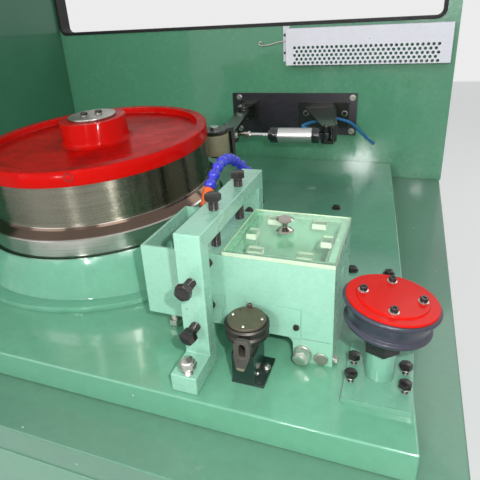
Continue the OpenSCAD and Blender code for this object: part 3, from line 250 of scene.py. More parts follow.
def enamel(name, colour, gloss=0.3, coat=0.5, tone=0.06, dirt=0.35, dirt_colour=(0.035, 0.04, 0.03),
           dust_and_shade=0.12, dust_and_shade_colour=(0.33, 0.38, 0.30), wear=0.28, bare=(0.33, 0.34, 0.31),
           chips=0.05, chip_colour=(0.55, 0.62, 0.5), waves=0.5, peel=0.12, edge=0.0018,
           mirror=0.4, relief=0.0016):
    made = bpy.data.materials.new(name)
    made.use_nodes = True
    t = made.node_tree
    surface = t.nodes["Principled BSDF"].inputs
    surface["Specular IOR Level"].default_value = mirror
    surface["Coat Weight"].default_value = coat
    surface["Coat Roughness"].default_value = 0.07
    dirty = use_group(t, shop_dirt, Amount=dirt)
    skin_of_paint = use_group(t, paint_skin, Waves=waves, Peel=peel, Chips=chips)
    rubbed = use_group(t, edge_wear, Radius=edge, Amount=wear)
    dust_and_shade_cover = use_group(t, upward_dust_and_shade, Amount=dust_and_shade)
    darker = tuple(c * (1 - tone) for c in colour)
    lighter = tuple(min(1.0, c * (1 + tone)) for c in colour)
    shade = clouded(t, dirty["Cloud"], darker, lighter)
    shade = mingle(t, dust_and_shade_cover["Mask"], shade, dust_and_shade_colour)
    shade = mingle(t, dirty["Mask"], shade, dirt_colour)
    shade = mingle(t, skin_of_paint["Specks"], shade, chip_colour)
    shade = mingle(t, rubbed["Mask"], shade, bare)
    dulled = calc(t, "ADD", dirty["Cloud"], dust_and_shade_cover["Mask"])
    t.links.new(shade, surface["Base Color"])
    t.links.new(calc(t, "MULTIPLY", rubbed["Mask"], 0.8), surface["Metallic"])
    t.links.new(stretch(t, dulled, 0.1, 0.6, gloss * 0.85, gloss * 1.6), surface["Roughness"])
    bump = put(t, "ShaderNodeBump", {"Height": skin_of_paint["Height"], "Strength": 0.35,
                                     "Distance": relief})
    t.links.new(bump.outputs[0], surface["Normal"])
    return made


def finish_node(name, material, rounding=0.0):
    carried = nodes[name]
    carried.data.materials.clear()
    carried.data.materials.append(material)
    if rounding:
        weld = carried.modifiers.new("weld", "WELD")
        weld.merge_threshold = 0.00002
        plain = carried.modifiers.new("plain_faces", "DECIMATE")
        plain.decimate_type = "DISSOLVE"
        plain.angle_limit = math.radians(0.3)
        soft = carried.modifiers.new("soft_edges", "BEVEL")
        soft.width = rounding
        soft.segments = 2
        soft.limit_method = "ANGLE"
        soft.angle_limit = math.radians(35)
        soft.harden_normals = True


plinth_enamel = enamel("plinth_enamel", (0.02, 0.045, 0.04), gloss=0.45, coat=0.1, dust_and_shade=0.3, dirt=0.5,
                       chips=0.1)
finish_node("base_frame", plinth_enamel, rounding=0.003)

# Cabinet. The closed sheet steel housing of motor and gear unit, folded from 3 mm sheet and
# sprayed in mint green enamel. It carries the working deck and both walls.
cabinet_enamel = enamel("cabinet_enamel", (0.115, 0.28, 0.185), gloss=0.32, coat=0.35, dirt=0.2, dust_and_shade=0.05)
finish_node("cabinet", cabinet_enamel, rounding=0.004)

# Service covers. Six flat sheets with round corners, each held by button head screws along its
# edge: two in front, two behind and one at each end. They stand for the CAD's plain panels.
panels_low, panels_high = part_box("cover_panels")
cabinet_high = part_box("cabinet")[1]
cover_margin = 0.060
cover_gap = 0.040
cover_corner = 0.030
cover_sheet_t = 0.0022
cover_edge = 0.0008
cover_head_r = 0.007
cover_head_h = 0.0018
cover_inset = 0.018
cover_enamel = enamel("cover_enamel", (0.14, 0.34, 0.225), gloss=0.32, coat=0.35, dirt=0.18, dust_and_shade=0.05,
                      edge=0.001)


def facing(place, direction, turn=0.0):
    aim = Vector(direction).to_track_quat("Z", "Y").to_matrix().to_4x4()
    return Matrix.Translation(place) @ aim @ Matrix.Rotation(turn, 4, "Z")


def skin(bm, rings, slot=0):
    rows = [[bm.verts.new(p) for p in ring] for ring in rings]
    count = len(rows[0])
    faces = []
    for low, high in zip(rows, rows[1:]):
        for i in range(count):
            j = (i + 1) % count
            faces.append(bm.faces.new((low[i], low[j], high[j], high[i])))
    faces.append(bm.faces.new(rows[0][::-1]))
    faces.append(bm.faces.new(rows[-1]))
    for face in faces:
        face.material_index = slot


def ring_of(place, radii, height):
    heights = height if isinstance(height, list) else [height] * len(radii)
    turns = [math.tau * i / len(radii) for i in range(len(radii))]
    return [place @ Vector((r * math.cos(a), r * math.sin(a), h)) for r, a, h in zip(radii, turns, heights)]


def hexagon(flats, steps=48):
    sixth = math.tau / 6
    return [flats / 2 / math.cos((math.tau * i / steps) % sixth - sixth / 2) for i in range(steps)]


def socket_head(bm, place, radius, height, slot=0, round_top=0.12):
    count = 36
    key = hexagon(radius * 0.95, count)
    skin(bm, [ring_of(place, [radius * 0.97] * count, 0),
              ring_of(place, [radius] * count, height * 0.1),
              ring_of(place, [radius] * count, height * (1 - round_top * 2)),
              ring_of(place, [radius * (1 - round_top)] * count, height),
              ring_of(place, [r * 1.06 for r in key], height),
              ring_of(place, key, height * 0.94),
              ring_of(place, [r * 0.98 for r in key], height * 0.4)], slot)


def make_piece(name, bm, body, materials, sharp=32):
    mesh = bpy.data.meshes.new(name)
    bmesh.ops.recalc_face_normals(bm, faces=bm.faces[:])
    bm.to_mesh(mesh)
    bm.free()
    mesh.shade_smooth()
    mesh.set_sharp_from_angle(angle=math.radians(sharp))
    for material in materials:
        mesh.materials.append(material)
    made = bpy.data.objects.new(name, mesh)
    scene.collection.objects.link(made)
    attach(made, body)
    return made


def rounded_outline(w, h, r):
    arc_steps = 8
    points = []
    for cx, cy, start in ((w - r, r, -90), (w - r, h - r, 0), (r, h - r, 90), (r, r, 180)):
        for k in range(arc_steps + 1):
            a = math.radians(start + 90 * k / arc_steps)
            points.append((cx + r * math.cos(a), cy + r * math.sin(a)))
    return points


def drawn_in(outline, w, h, by):
    return [(w / 2 + (u - w / 2) * (1 - 2 * by / w), h / 2 + (v - h / 2) * (1 - 2 * by / h))
            for u, v in outline]


def along_edge(w, h, inset, per_long, per_short):
    spots = []
    for i in range(per_long):
        x = inset + (w - 2 * inset) * i / (per_long - 1)
        spots += [(x, inset), (x, h - inset)]
    for i in range(1, per_short - 1):
        y = inset + (h - 2 * inset) * i / (per_short - 1)
        spots += [(inset, y), (w - inset, y)]
    return spots


def plated(name, base, shine, rough=0.3, dirt=0.3, marks=0.06, wear=0.0, bare=(0.5, 0.48, 0.44)):
    made = bpy.data.materials.new(name)
    made.use_nodes = True
    t = made.node_tree
    surface = t.nodes["Principled BSDF"].inputs
    surface["Metallic"].default_value = shine
    dirty = use_group(t, shop_dirt, Amount=dirt, Reach=0.01, Scale=22.0)
    dull = tuple(c * 0.86 for c in base)
    bright = tuple(min(1.0, c * 1.12) for c in base)
    shade = clouded(t, dirty["Cloud"], dull, bright)
    shade = mingle(t, dirty["Mask"], shade, (0.03, 0.028, 0.022))
    if wear:
        rubbed = use_group(t, edge_wear, Radius=0.0008, Amount=wear, Scale=160.0)
        shade = mingle(t, rubbed["Mask"], shade, bare)
    t.links.new(shade, surface["Base Color"])
    t.links.new(stretch(t, dirty["Cloud"], 0.1, 0.4, rough * 0.8, rough * 1.35), surface["Roughness"])
    grain = speckle(t, object_place(t), 240.0)
    bump = put(t, "ShaderNodeBump", {"Height": grain, "Strength": marks, "Distance": 0.0006})
    t.links.new(bump.outputs[0], surface["Normal"])
    return made


zinc_plate = plated("zinc_plate", (0.62, 0.60, 0.55), shine=1.0)
front_cover_w = (2 * panels_high.x - 2 * cover_margin - cover_gap) / 2
side_cover_w = 2 * panels_high.y - 4 * cover_margin
cover_h = panels_high.z - panels_low.z
cover_spots = [((x, side * cabinet_high.y, panels_low.z), (0, side, 0), front_cover_w)
               for side in (-1, 1) for x in (cover_margin - panels_high.x, cover_gap / 2)]
cover_spots += [((side * cabinet_high.x, -side_cover_w / 2, panels_low.z), (side, 0, 0), side_cover_w)
                for side in (-1, 1)]
rise = Vector((0, 0, 1))
sheets = bmesh.new()
screws = bmesh.new()
for place, outward, width in cover_spots:
    origin = Vector(place)
    out = Vector(outward)
    run = Vector((abs(out.y), abs(out.x), 0))
    outline = rounded_outline(width, cover_h, cover_corner)
    inner = drawn_in(outline, width, cover_h, cover_edge)
    layers = ((outline, 0), (outline, cover_sheet_t - cover_edge), (inner, cover_sheet_t))
    skin(sheets, [[origin + run * u + rise * v + out * d for u, v in ring] for ring, d in layers])
    screws_in_row = 5 if width > 1 else 4
    for u, v in along_edge(width, cover_h, cover_inset, screws_in_row, 4):
        head_place = origin + run * u + rise * v + out * cover_sheet_t
        socket_head(screws, facing(head_place, outward), cover_head_r, cover_head_h, round_top=0.25)
cover_sheets = make_piece("cover_sheets", sheets, "station", [cover_enamel])
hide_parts("cover_panels")
make_piece("cover_screws", screws, "station", [zinc_plate])

# Deck. One thick plate over the cabinet, ground flat and painted in mint enamel. Three black
# hexagon bolts with flat washers stand in it behind the die box and the guide pulley.
skyward = (0, 0, 1)
deck_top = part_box("deck")[1].z
deck_bolt_spots = ((0.552, 0.206), (0.651, -0.176), (0.737, -0.172))
deck_bolt_flats = 0.019
deck_bolt_h = 0.008
deck_washer = ((0.0135, 0), (0.0140, 0.0004), (0.0140, 0.0021), (0.0135, 0.0025))
deck_enamel = enamel("deck_enamel", (0.152, 0.415, 0.268), gloss=0.20, coat=0.75, tone=0.05, dirt=0.2,
                     dust_and_shade=0.03, chips=0.04, waves=1.5, peel=0.1, relief=0.0019)
finish_node("deck", deck_enamel, rounding=0.004)
# Black oxide: its pale rubbed edges are partly real wear and partly painted edge highlights.
black_oxide = plated("black_oxide", (0.026, 0.025, 0.024), shine=0.3, rough=0.24, dirt=0.1, marks=0.12,
                     wear=0.42, bare=(0.22, 0.21, 0.20))


def turned(bm, place, profile, steps=28, slot=0):
    skin(bm, [ring_of(place, [r] * steps, h) for r, h in profile], slot)


def hex_head(bm, place, flats, height):
    sides = hexagon(flats)
    face_r = flats * 0.47
    chamfer = [height - (r - face_r) * 0.55 for r in sides]
    skin(bm, [ring_of(place, sides, 0), ring_of(place, sides, chamfer),
              ring_of(place, [face_r] * len(sides), height)])


deck_bolts = bmesh.new()
for x, y in deck_bolt_spots:
    turn = 0.4 + 3 * x
    turned(deck_bolts, facing((x, y, deck_top), skyward, turn), deck_washer)
    hex_head(deck_bolts, facing((x, y, deck_top + deck_washer[-1][1]), skyward, turn), deck_bolt_flats,
             deck_bolt_h)
make_piece("deck_bolts", deck_bolts, "station", [black_oxide])

# Walls. The back wall and the left end wall are welded sheet steel boxes in a darker green. The
# opening over the working space has a black rubber trim pushed over its edge.
wall_enamel = enamel("wall_enamel", (0.107, 0.345, 0.200), gloss=0.24, coat=0.75, tone=0.05, dirt=0.2,
                     dust_and_shade=0.05, chips=0.035, waves=1.4, relief=0.0019)
# The left wall's enamel is a darker copy of the wall green: painted shade.
left_shaded_enamel = enamel("left_wall_shaded_enamel", (0.058, 0.205, 0.118), gloss=0.34, coat=0.35, tone=0.05, dirt=0.2,
                     chips=0.03)
finish_node("back_wall", wall_enamel, rounding=0.003)
finish_node("side_wall", left_shaded_enamel, rounding=0.003)
trim_rubber = enamel("trim_rubber", (0.012, 0.012, 0.012), gloss=0.55, coat=0.0, dirt=0.2, wear=0.0,
                     dirt_colour=(0.08, 0.08, 0.075), chips=0.0, waves=0.0, peel=0.3)
finish_node("window_trim", trim_rubber, rounding=0.0012)

# Pedestal. A grey iron casting that carries the drum shaft: a flat ring on the deck, a cone and
# a turned upper lip, filled, rubbed down and painted in mint gloss.
casting_enamel = enamel("casting_enamel", (0.155, 0.43, 0.285), gloss=0.2, coat=0.6, dirt=0.25, dust_and_shade=0.05,
                        chips=0.06, waves=0.5, peel=0.3)
finish_node("pedestal", casting_enamel, rounding=0.001)

# Drum. A hardened steel face that bears the wire over a wider polished skirt, both turned, on a
# shaft that comes up through the pedestal. The brown band on the flare is a painted reflection.
# The face's dark brown base and its darker side are a painted reflection of the dark room, mixed
# with oil streaks.
VECTOR = "NodeSocketVector"
block_origin = Vector((-0.050, -0.146, deck_top))
block_tilt = (math.radians(3), math.radians(-1.2), 0)
# Painted reflection: the skirt's flare is coloured brown between these two heights.
flare_reflection_brown = (0.13, 0.092, 0.07)
reflection_band_low = 0.1635
reflection_band_high = 0.1865
oil_and_dark_reflection = (0.075, 0.072, 0.045)
turned_marks, given, shows = shader_group("turned_marks", (
    ("Centre", VECTOR, (0, 0, 0)), ("Tilt", VECTOR, (0, 0, 0)), ("Pitch", FLOAT, 900.0)),
    ("Lines", "Along", "Side", "Front"))
own = put(turned_marks, "ShaderNodeMapping", {
    "Vector": object_place(turned_marks), "Location": given["Centre"], "Rotation": given["Tilt"]},
    vector_type="TEXTURE").outputs[0]
part = put(turned_marks, "ShaderNodeSeparateXYZ", {0: own}).outputs
across_x = calc(turned_marks, "MULTIPLY", part[0], part[0])
across_y = calc(turned_marks, "MULTIPLY", part[1], part[1])
reach = calc(turned_marks, "SQRT", calc(turned_marks, "ADD", across_x, across_y))
safe_reach = calc(turned_marks, "ADD", reach, 0.0001)
side = calc(turned_marks, "DIVIDE", part[0], safe_reach)
front = calc(turned_marks, "DIVIDE", part[1], safe_reach)
groove = calc(turned_marks, "ADD", calc(turned_marks, "MULTIPLY", reach, given["Pitch"]), side)
groove_rise = calc(turned_marks, "MULTIPLY", part[2], given["Pitch"])
groove_place = put(turned_marks, "ShaderNodeCombineXYZ", {0: groove, 1: groove_rise, 2: front}).outputs[0]
turned_marks.links.new(speckle(turned_marks, groove_place, 1.0, detail=3.0), shows["Lines"])
turned_marks.links.new(part[2], shows["Along"])
turned_marks.links.new(side, shows["Side"])
turned_marks.links.new(front, shows["Front"])


# Painted reflection: the face goes dark towards one side, where it would mirror the dark room, broken up by
# oil streaks.
def oil_and_reflection_streaks(tree, marks, toward_side, toward_front):
    turn_share = calc(tree, "ADD", calc(tree, "MULTIPLY", marks["Side"], toward_side),
                      calc(tree, "MULTIPLY", marks["Front"], toward_front))
    around = put(tree, "ShaderNodeCombineXYZ", {
        0: calc(tree, "MULTIPLY", marks["Side"], 5.0), 1: calc(tree, "MULTIPLY", marks["Front"], 5.0),
        2: calc(tree, "MULTIPLY", marks["Along"], 1.5)}).outputs[0]
    blot = calc(tree, "SUBTRACT", speckle(tree, around, 1.6, detail=5.0), 0.5)
    streaks = calc(tree, "MULTIPLY", blot, 0.45)
    return stretch(tree, calc(tree, "ADD", turn_share, streaks), 0.76, 0.93)


def turned_steel(name, base, centre, tilt, rough, pitch=900.0, lines=0.25, sheen=0.0, dirt=0.2, oil_and_reflection=None,
                 band=None):
    made = bpy.data.materials.new(name)
    made.use_nodes = True
    t = made.node_tree
    surface = t.nodes["Principled BSDF"].inputs
    surface["Metallic"].default_value = 1.0
    marks = use_group(t, turned_marks, Centre=centre, Tilt=tilt, Pitch=pitch)
    dirty = use_group(t, shop_dirt, Amount=dirt, Reach=0.015, Scale=14.0)
    dull = tuple(c * 0.8 for c in base)
    bright = tuple(min(1.0, c * 1.12) for c in base)
    shade = mingle(t, stretch(t, marks["Lines"], 0.3, 0.7), dull, bright)
    if oil_and_reflection:
        oil_and_reflection_colour, toward_side, toward_front = oil_and_reflection
        shade = mingle(t, oil_and_reflection_streaks(t, marks, toward_side, toward_front), shade, oil_and_reflection_colour)
    if band:
        band_colour, band_low, band_high = band
        over = stretch(t, marks["Along"], band_low, band_low + 0.002)
        under = stretch(t, marks["Along"], band_high, band_high - 0.002)
        shade = mingle(t, calc(t, "MULTIPLY", over, under), shade, band_colour)
    shade = mingle(t, dirty["Mask"], shade, (0.03, 0.028, 0.02))
    t.links.new(shade, surface["Base Color"])
    t.links.new(stretch(t, dirty["Cloud"], 0.1, 0.4, rough * 0.8, rough * 1.3), surface["Roughness"])
    if sheen:
        surface["Anisotropic"].default_value = sheen
        surface["Anisotropic Rotation"].default_value = 0.25
        round_axis = put(t, "ShaderNodeTangent", direction_type="RADIAL", axis="Z").outputs[0]
        t.links.new(round_axis, surface["Tangent"])
    bump = put(t, "ShaderNodeBump", {"Height": marks["Lines"], "Strength": lines, "Distance": 0.0003})
    t.links.new(bump.outputs[0], surface["Normal"])
    return made


shaft_steel = turned_steel("shaft_steel", (0.45, 0.44, 0.42), block_origin, block_tilt, rough=0.3)
face_steel = turned_steel("face_steel", (0.25, 0.235, 0.185), block_origin, block_tilt, rough=0.26,
                          pitch=420.0, lines=0.16, sheen=0.97, oil_and_reflection=(oil_and_dark_reflection, 1.0, -0.05))
skirt_steel = turned_steel("skirt_steel", (0.50, 0.49, 0.45), block_origin, block_tilt, rough=0.16,
                           pitch=700.0, lines=0.06, sheen=0.8, band=(flare_reflection_brown, reflection_band_low, reflection_band_high))
finish_node("drum_shaft", shaft_steel)
finish_node("drum_skirt", skirt_steel)
finish_node("drum_shell", face_steel)

# Drum top. A welded red dish with a heavy rim and a boss, in thick gloss enamel. A set screw
# sits in a counterbore in the rim.
rim_r = 0.306
set_screw_r = 0.0095
set_screw_sunk = 0.0004
set_screw_rise = 0.3085
set_screw_turn = math.radians(-66.5)
set_screw_steps = 36
set_screw_round = ((1.12, 0), (1.10, 0.0010), (0.94, 0.0010), (0.90, 0.0002), (0.60, 0.0002))
set_screw_key = ((1, 0.0004), (0.96, 0.00025))
# On the red dish the upward mask turns the faces that look up a deep red: a painted dark reflection.
red_enamel = enamel("red_enamel", (0.60, 0.005, 0.003), gloss=0.2, mirror=0.035, coat=0.08, tone=0.05,
                    dirt=0.12, dirt_colour=(0.09, 0.008, 0.006), dust_and_shade=0.85, dust_and_shade_colour=(0.13, 0.006, 0.005),
                    wear=0.2, bare=(0.55, 0.25, 0.22), chips=0.05, chip_colour=(0.7, 0.4, 0.38), waves=0.35,
                    peel=0.06)
finish_node("drum_flange", red_enamel, rounding=0.0015)


def block_direction(x, y, z):
    return Euler(block_tilt).to_matrix() @ Vector((x, y, z))


def on_block(x, y, z):
    return block_origin + block_direction(x, y, z)


rim_face = rim_r - set_screw_sunk
screw_way = block_direction(math.cos(set_screw_turn), math.sin(set_screw_turn), 0)
screw_place = facing(on_block(rim_face * math.cos(set_screw_turn), rim_face * math.sin(set_screw_turn),
                              set_screw_rise), screw_way)
screw_rings = [ring_of(screw_place, [set_screw_r * share] * set_screw_steps, h)
               for share, h in set_screw_round]
screw_rings += [ring_of(screw_place, hexagon(set_screw_r * share, set_screw_steps), h)
                for share, h in set_screw_key]
set_screw = bmesh.new()
skin(set_screw, screw_rings)
set_screw_red = enamel("set_screw_red", (0.12, 0.004, 0.003), gloss=0.3, coat=0.5, dirt=0.9, dust_and_shade=0.0,
                       dirt_colour=(0.03, 0.006, 0.005), chips=0.0, edge=0.0006)
make_piece("rim_set_screw", set_screw, "drum", [set_screw_red])

# Drum cap. A turned steel disc on the boss, held by two black hexagon bolts with zinc washers.
# The bolts stand on a small circle round the drum's axis.
cap_top = 0.374
cap_bolt_out = 0.019
cap_bolt_turns = (40, 220)
cap_bolt_flats = 0.017
cap_bolt_h = 0.0068
cap_washer = ((0.0105, 0), (0.0108, 0.0003), (0.0108, 0.0014), (0.0104, 0.0016))
cap_steel = turned_steel("cap_steel", (0.46, 0.45, 0.41), block_origin, block_tilt, rough=0.3, sheen=0.6)
finish_node("drum_cap", cap_steel, rounding=0.0008)


def bolted(bm, place, way, washer, flats, height, turn=0.0, washer_slot=0, steps=28):
    turned(bm, facing(place, way), washer, steps, washer_slot)
    head_place = Vector(place) + Vector(way) * washer[-1][1]
    hex_head(bm, facing(head_place, way, turn), flats, height)


cap_bolts = bmesh.new()
for turn in map(math.radians, cap_bolt_turns):
    bolt_spot = on_block(cap_bolt_out * math.cos(turn), cap_bolt_out * math.sin(turn), cap_top)
    bolted(cap_bolts, bolt_spot, block_direction(0, 0, 1), cap_washer, cap_bolt_flats, cap_bolt_h, turn,
           washer_slot=1)
make_piece("cap_bolts", cap_bolts, "drum", [black_oxide, zinc_plate])

# Clamp frame. Two legs and a beam of heavy flat bar, welded into a gate over the die box. Black
# hexagon bolts through beam and legs press the box into place; zinc bolts hold its feet.
clamp_bolt_flats = 0.027
clamp_bolt_head = 0.0125
clamp_bolt_r = 0.0095
clamp_pitch = 0.0025
beam_bolt_spots = ((0.429, -0.495), (0.431, -0.367))
beam_bolt_top = 1.1560
beam_bolt_tip = 1.0645
leg_bolt_x = 0.426
leg_bolt_heights = (1.047, 0.957)
leg_bolt_ends = ((-0.630, -0.5325), (-0.230, -0.3295))
foot_bolt_spots = ((0.431, -0.658), (0.424, -0.216))
foot_bolt_r = 0.008
foot_bolt_z = 0.8955
foot_bolt_shank = 0.0165
foot_bolt_pitch = 0.002
foot_washer_z = 0.9115
foot_washer = ((0.0145, 0), (0.0150, 0.0004), (0.0150, 0.0021), (0.0145, 0.0025))
foot_head_flats = 0.0275
foot_head_h = 0.0085
foot_crown_z = 0.9224
foot_crown = ((0.0128, 0), (0.0126, 0.0022), (0.0112, 0.0040), (0.0070, 0.0052))
light_enamel = enamel("light_enamel", (0.305, 0.595, 0.445), gloss=0.26, coat=0.45, tone=0.03, dirt=0.2,
                      dust_and_shade=0.03, dust_and_shade_colour=(0.5, 0.6, 0.48), chips=0.06, chip_colour=(0.2, 0.3, 0.24),
                      waves=0.4)
finish_node("clamp_frame", light_enamel, rounding=0.0022)


def threaded(bm, place, radius, length, pitch):
    steps = 20
    rows = max(2, round(length / pitch * 4))
    rings = []
    for k in range(rows + 1):
        h = length * k / rows
        radii = [radius - pitch * 0.5 * abs((h / pitch - i / steps) % 1 * 2 - 1) for i in range(steps)]
        rings.append(ring_of(place, radii, h))
    skin(bm, rings)


clamp_bolt_runs = [((x, y, beam_bolt_top), (x, y, beam_bolt_tip)) for x, y in beam_bolt_spots]
clamp_bolt_runs += [((leg_bolt_x, outside, z), (leg_bolt_x, inside, z))
                    for outside, inside in leg_bolt_ends for z in leg_bolt_heights]
clamp_bolts = bmesh.new()
for i, (head, tip) in enumerate(clamp_bolt_runs):
    run = Vector(tip) - Vector(head)
    way = run.normalized()
    threaded(clamp_bolts, facing(head, way), clamp_bolt_r, run.length, clamp_pitch)
    hex_head(clamp_bolts, facing(head, -way, 0.35 + 0.5 * i), clamp_bolt_flats, clamp_bolt_head)
make_piece("clamp_bolts", clamp_bolts, "station", [black_oxide])
foot_bolts = bmesh.new()
for i, (x, y) in enumerate(foot_bolt_spots):
    threaded(foot_bolts, facing((x, y, foot_bolt_z), skyward), foot_bolt_r, foot_bolt_shank,
             foot_bolt_pitch)
    bolted(foot_bolts, (x, y, foot_washer_z), skyward, foot_washer, foot_head_flats, foot_head_h, 0.5 + i)
    turned(foot_bolts, facing((x, y, foot_crown_z), skyward), foot_crown, steps=36)
make_piece("clamp_foot_bolts", foot_bolts, "station", [zinc_plate])

# Die box. Welded from 6 mm sheet: the open die bay on the left, the bridge under the clamp, and
# the soap bay on the right. The die holder is a turned steel ring against the bridge.
frontward = (0, -1, 0)
holder_centre = (0.353, -0.431, 1.010)
lengthwise = (0, math.radians(90), 0)
cover_screw_place = (0.592, -0.535, 0.938)
holder_steel = turned_steel("holder_steel", (0.36, 0.34, 0.30), holder_centre, lengthwise, rough=0.34,
                            lines=0.3, dirt=0.5)
finish_node("die_box", light_enamel, rounding=0.0012)
finish_node("die_holder", holder_steel, rounding=0.0008)
finish_node("jack_screw", zinc_plate, rounding=0.0008)
finish_node("cover_plates", light_enamel, rounding=0.0007)
cover_screw = bmesh.new()
socket_head(cover_screw, facing(cover_screw_place, frontward), radius=0.0058, height=0.0052,
            round_top=0.2)
make_piece("cover_plate_screw", cover_screw, "station", [black_oxide])

# Foot of the die box. The hinge block under its right end with a bright round pin, a big zinc
# hexagon screw beside the pin, and a small one in its right side.
rightward = (1, 0, 0)
big_screw_place = (0.603, -0.5322, 0.880)
big_screw_washer = ((0.0165, 0), (0.0170, 0.0006), (0.0170, 0.0034), (0.0164, 0.0040))
big_screw_flats = 0.0290
big_screw_h = 0.0150
pin_place = (0.637, -0.5349, 0.875)
pin_end = ((0.0128, 0), (0.0128, 0.0006), (0.0120, 0.0012))
side_screw_place = (0.6583, -0.519, 0.869)
side_screw_washer = ((0.0082, 0), (0.0085, 0.0003), (0.0085, 0.0013), (0.0082, 0.0016))
side_screw_flats = 0.0130
side_screw_h = 0.0062
hinge_pin_steel = plated("hinge_pin_steel", (0.40, 0.37, 0.32), shine=1.0, rough=0.4, dirt=0.5, marks=0.2)
finish_node("box_foot", light_enamel, rounding=0.0015)
foot_screws = bmesh.new()
bolted(foot_screws, big_screw_place, frontward, big_screw_washer, big_screw_flats, big_screw_h, 0.25,
       steps=40)
turned(foot_screws, facing(pin_place, frontward), pin_end, steps=40, slot=1)
bolted(foot_screws, side_screw_place, rightward, side_screw_washer, side_screw_flats, side_screw_h, 0.3)
make_piece("foot_screws", foot_screws, "station", [zinc_plate, hinge_pin_steel])

# Lid of the soap bay. A sawn sheet of clear acrylic with six small clear blocks glued under it,
# which keep it in the rim. Sawn edges are frosted pale green; it stands for the CAD's lid.
lid_low, lid_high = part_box("box_lid")
lid_t = 0.008
lid_under = lid_high.z - lid_t
lid_edge = 0.0005
block_l = 0.028
block_w = 0.020
block_apart = 0.046
block_from_rim = 0.005
block_glue = 0.0001
rim_x0, rim_x1 = 0.466, 0.642
rim_y0, rim_y1 = -0.516, -0.346
clear_sheet = bpy.data.materials.new("clear_acrylic")
clear_sheet.use_nodes = True
glass_tree = clear_sheet.node_tree
glass = glass_tree.nodes["Principled BSDF"]
glass.inputs["Base Color"].default_value = (0.86, 0.92, 0.85, 1)
glass.inputs["IOR"].default_value = 1.49
glass.inputs["Transmission Weight"].default_value = 1.0
smears = use_group(glass_tree, shop_dirt, Amount=0.4, Scale=9.0)
glass_tree.links.new(stretch(glass_tree, smears["Cloud"], 0.1, 0.45, 0.02, 0.09), glass.inputs["Roughness"])
lets_through = put(glass_tree, "ShaderNodeBsdfTransparent", {0: (0.93, 0.97, 0.91, 1)})
shadow_only = glass_tree.nodes.new("ShaderNodeLightPath").outputs["Is Shadow Ray"]
through = put(glass_tree, "ShaderNodeMixShader", {0: shadow_only, 1: glass.outputs[0],
                                                  2: lets_through.outputs[0]})
glass_tree.links.new(through.outputs[0], glass_tree.nodes["Material Output"].inputs[0])
sawn_edge = enamel("sawn_acrylic_edge", (0.56, 0.70, 0.50), gloss=0.35, coat=0.2, dirt=0.15, dust_and_shade=0.0,
                   wear=0.0, chips=0.0, waves=0.1, peel=0.4)
sawn_block = enamel("sawn_block_edge", (0.70, 0.78, 0.66), gloss=0.4, coat=0.1, dirt=0.1, dust_and_shade=0.0,
                    wear=0.0, chips=0.0, waves=0.1, peel=0.4)


def sheet_block(bm, low, high, side_slot, chamfer=0.0):
    (x0, y0, z0), (x1, y1, z1) = low, high
    levels = ((0, z0), (0, z1))
    if chamfer:
        levels = ((chamfer, z0), (0, z0 + chamfer), (0, z1 - chamfer), (chamfer, z1))
    rings = [[Vector((x0 + a, y0 + a, z)), Vector((x1 - a, y0 + a, z)), Vector((x1 - a, y1 - a, z)),
              Vector((x0 + a, y1 - a, z))] for a, z in levels]
    start = len(bm.faces)
    skin(bm, rings, side_slot)
    bm.faces.ensure_lookup_table()
    for face in bm.faces[start:]:
        height = face.calc_center_median().z
        if abs(height - z0) < 1e-6 or abs(height - z1) < 1e-6:
            face.material_index = 0


lid_mesh = bmesh.new()
sheet_block(lid_mesh, (lid_low.x, lid_low.y, lid_under), lid_high, 1, lid_edge)
middle_x = (rim_x0 + rim_x1) / 2
middle_y = (lid_low.y + lid_high.y) / 2
block_in = block_from_rim + block_w / 2
block_spots = [(middle_x + side * block_apart, y, block_l, block_w)
               for side in (-1, 1) for y in (rim_y0 + block_in, rim_y1 - block_in)]
block_spots += [(x, middle_y, block_w, block_l) for x in (rim_x0 + block_in, rim_x1 - block_in)]
for x, y, w, d in block_spots:
    block_low = (x - w / 2, y - d / 2, lid_low.z)
    block_high = (x + w / 2, y + d / 2, lid_under - block_glue)
    sheet_block(lid_mesh, block_low, block_high, 2)
clear_lid = make_piece("clear_lid", lid_mesh, "lid", [clear_sheet, sawn_edge, sawn_block],
                       sharp=20)
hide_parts("box_lid")
knob_centre = (0.545, -0.426, 1.07)
upright = (0, 0, 0)
knob_steel = turned_steel("knob_steel", (0.46, 0.43, 0.38), knob_centre, upright, rough=0.16, lines=0.1)
finish_node("lid_knob", knob_steel)

# Guide pulley. A plate and a round post in mint enamel, a black locking nut, and the leaning
# spindle with the cast wheel and its red bearing cap. Four black bolts wait in the plate, raised.
spindle_foot = Vector((0.740, -0.535, 0.928))
spindle_turn = Euler((math.radians(-2), math.radians(6), 0)).to_matrix()
plate_bolt_spots = ((0.695, -0.569), (0.695, -0.523), (0.783, -0.570), (0.783, -0.524))
plate_bolt_r = 0.0056
plate_bolt_z = 0.8718
plate_bolt_shank = 0.0106
plate_bolt_pitch = 0.00175
plate_washer_z = 0.8822
plate_washer = ((0.0098, 0), (0.0101, 0.0003), (0.0101, 0.0017), (0.0098, 0.0020))
plate_head_flats = 0.0195
plate_head_h = 0.0088
cap_screw_out = 0.047
cap_screw_rise = 0.1028
cap_screw_turns = (4, 94, 184, 274)
cap_screw_washer = ((0.0085, 0), (0.0088, 0.0003), (0.0086, 0.0018), (0.0076, 0.0022))
cap_screw_r = 0.0064
cap_screw_h = 0.0068
base_enamel = enamel("guide_base_enamel", (0.18, 0.43, 0.30), gloss=0.22, coat=0.6, tone=0.04, dirt=0.25,
                     dust_and_shade=0.05, chips=0.05, waves=0.5)
finish_node("guide_base", base_enamel, rounding=0.0015)
finish_node("guide_nut", black_oxide, rounding=0.0012)
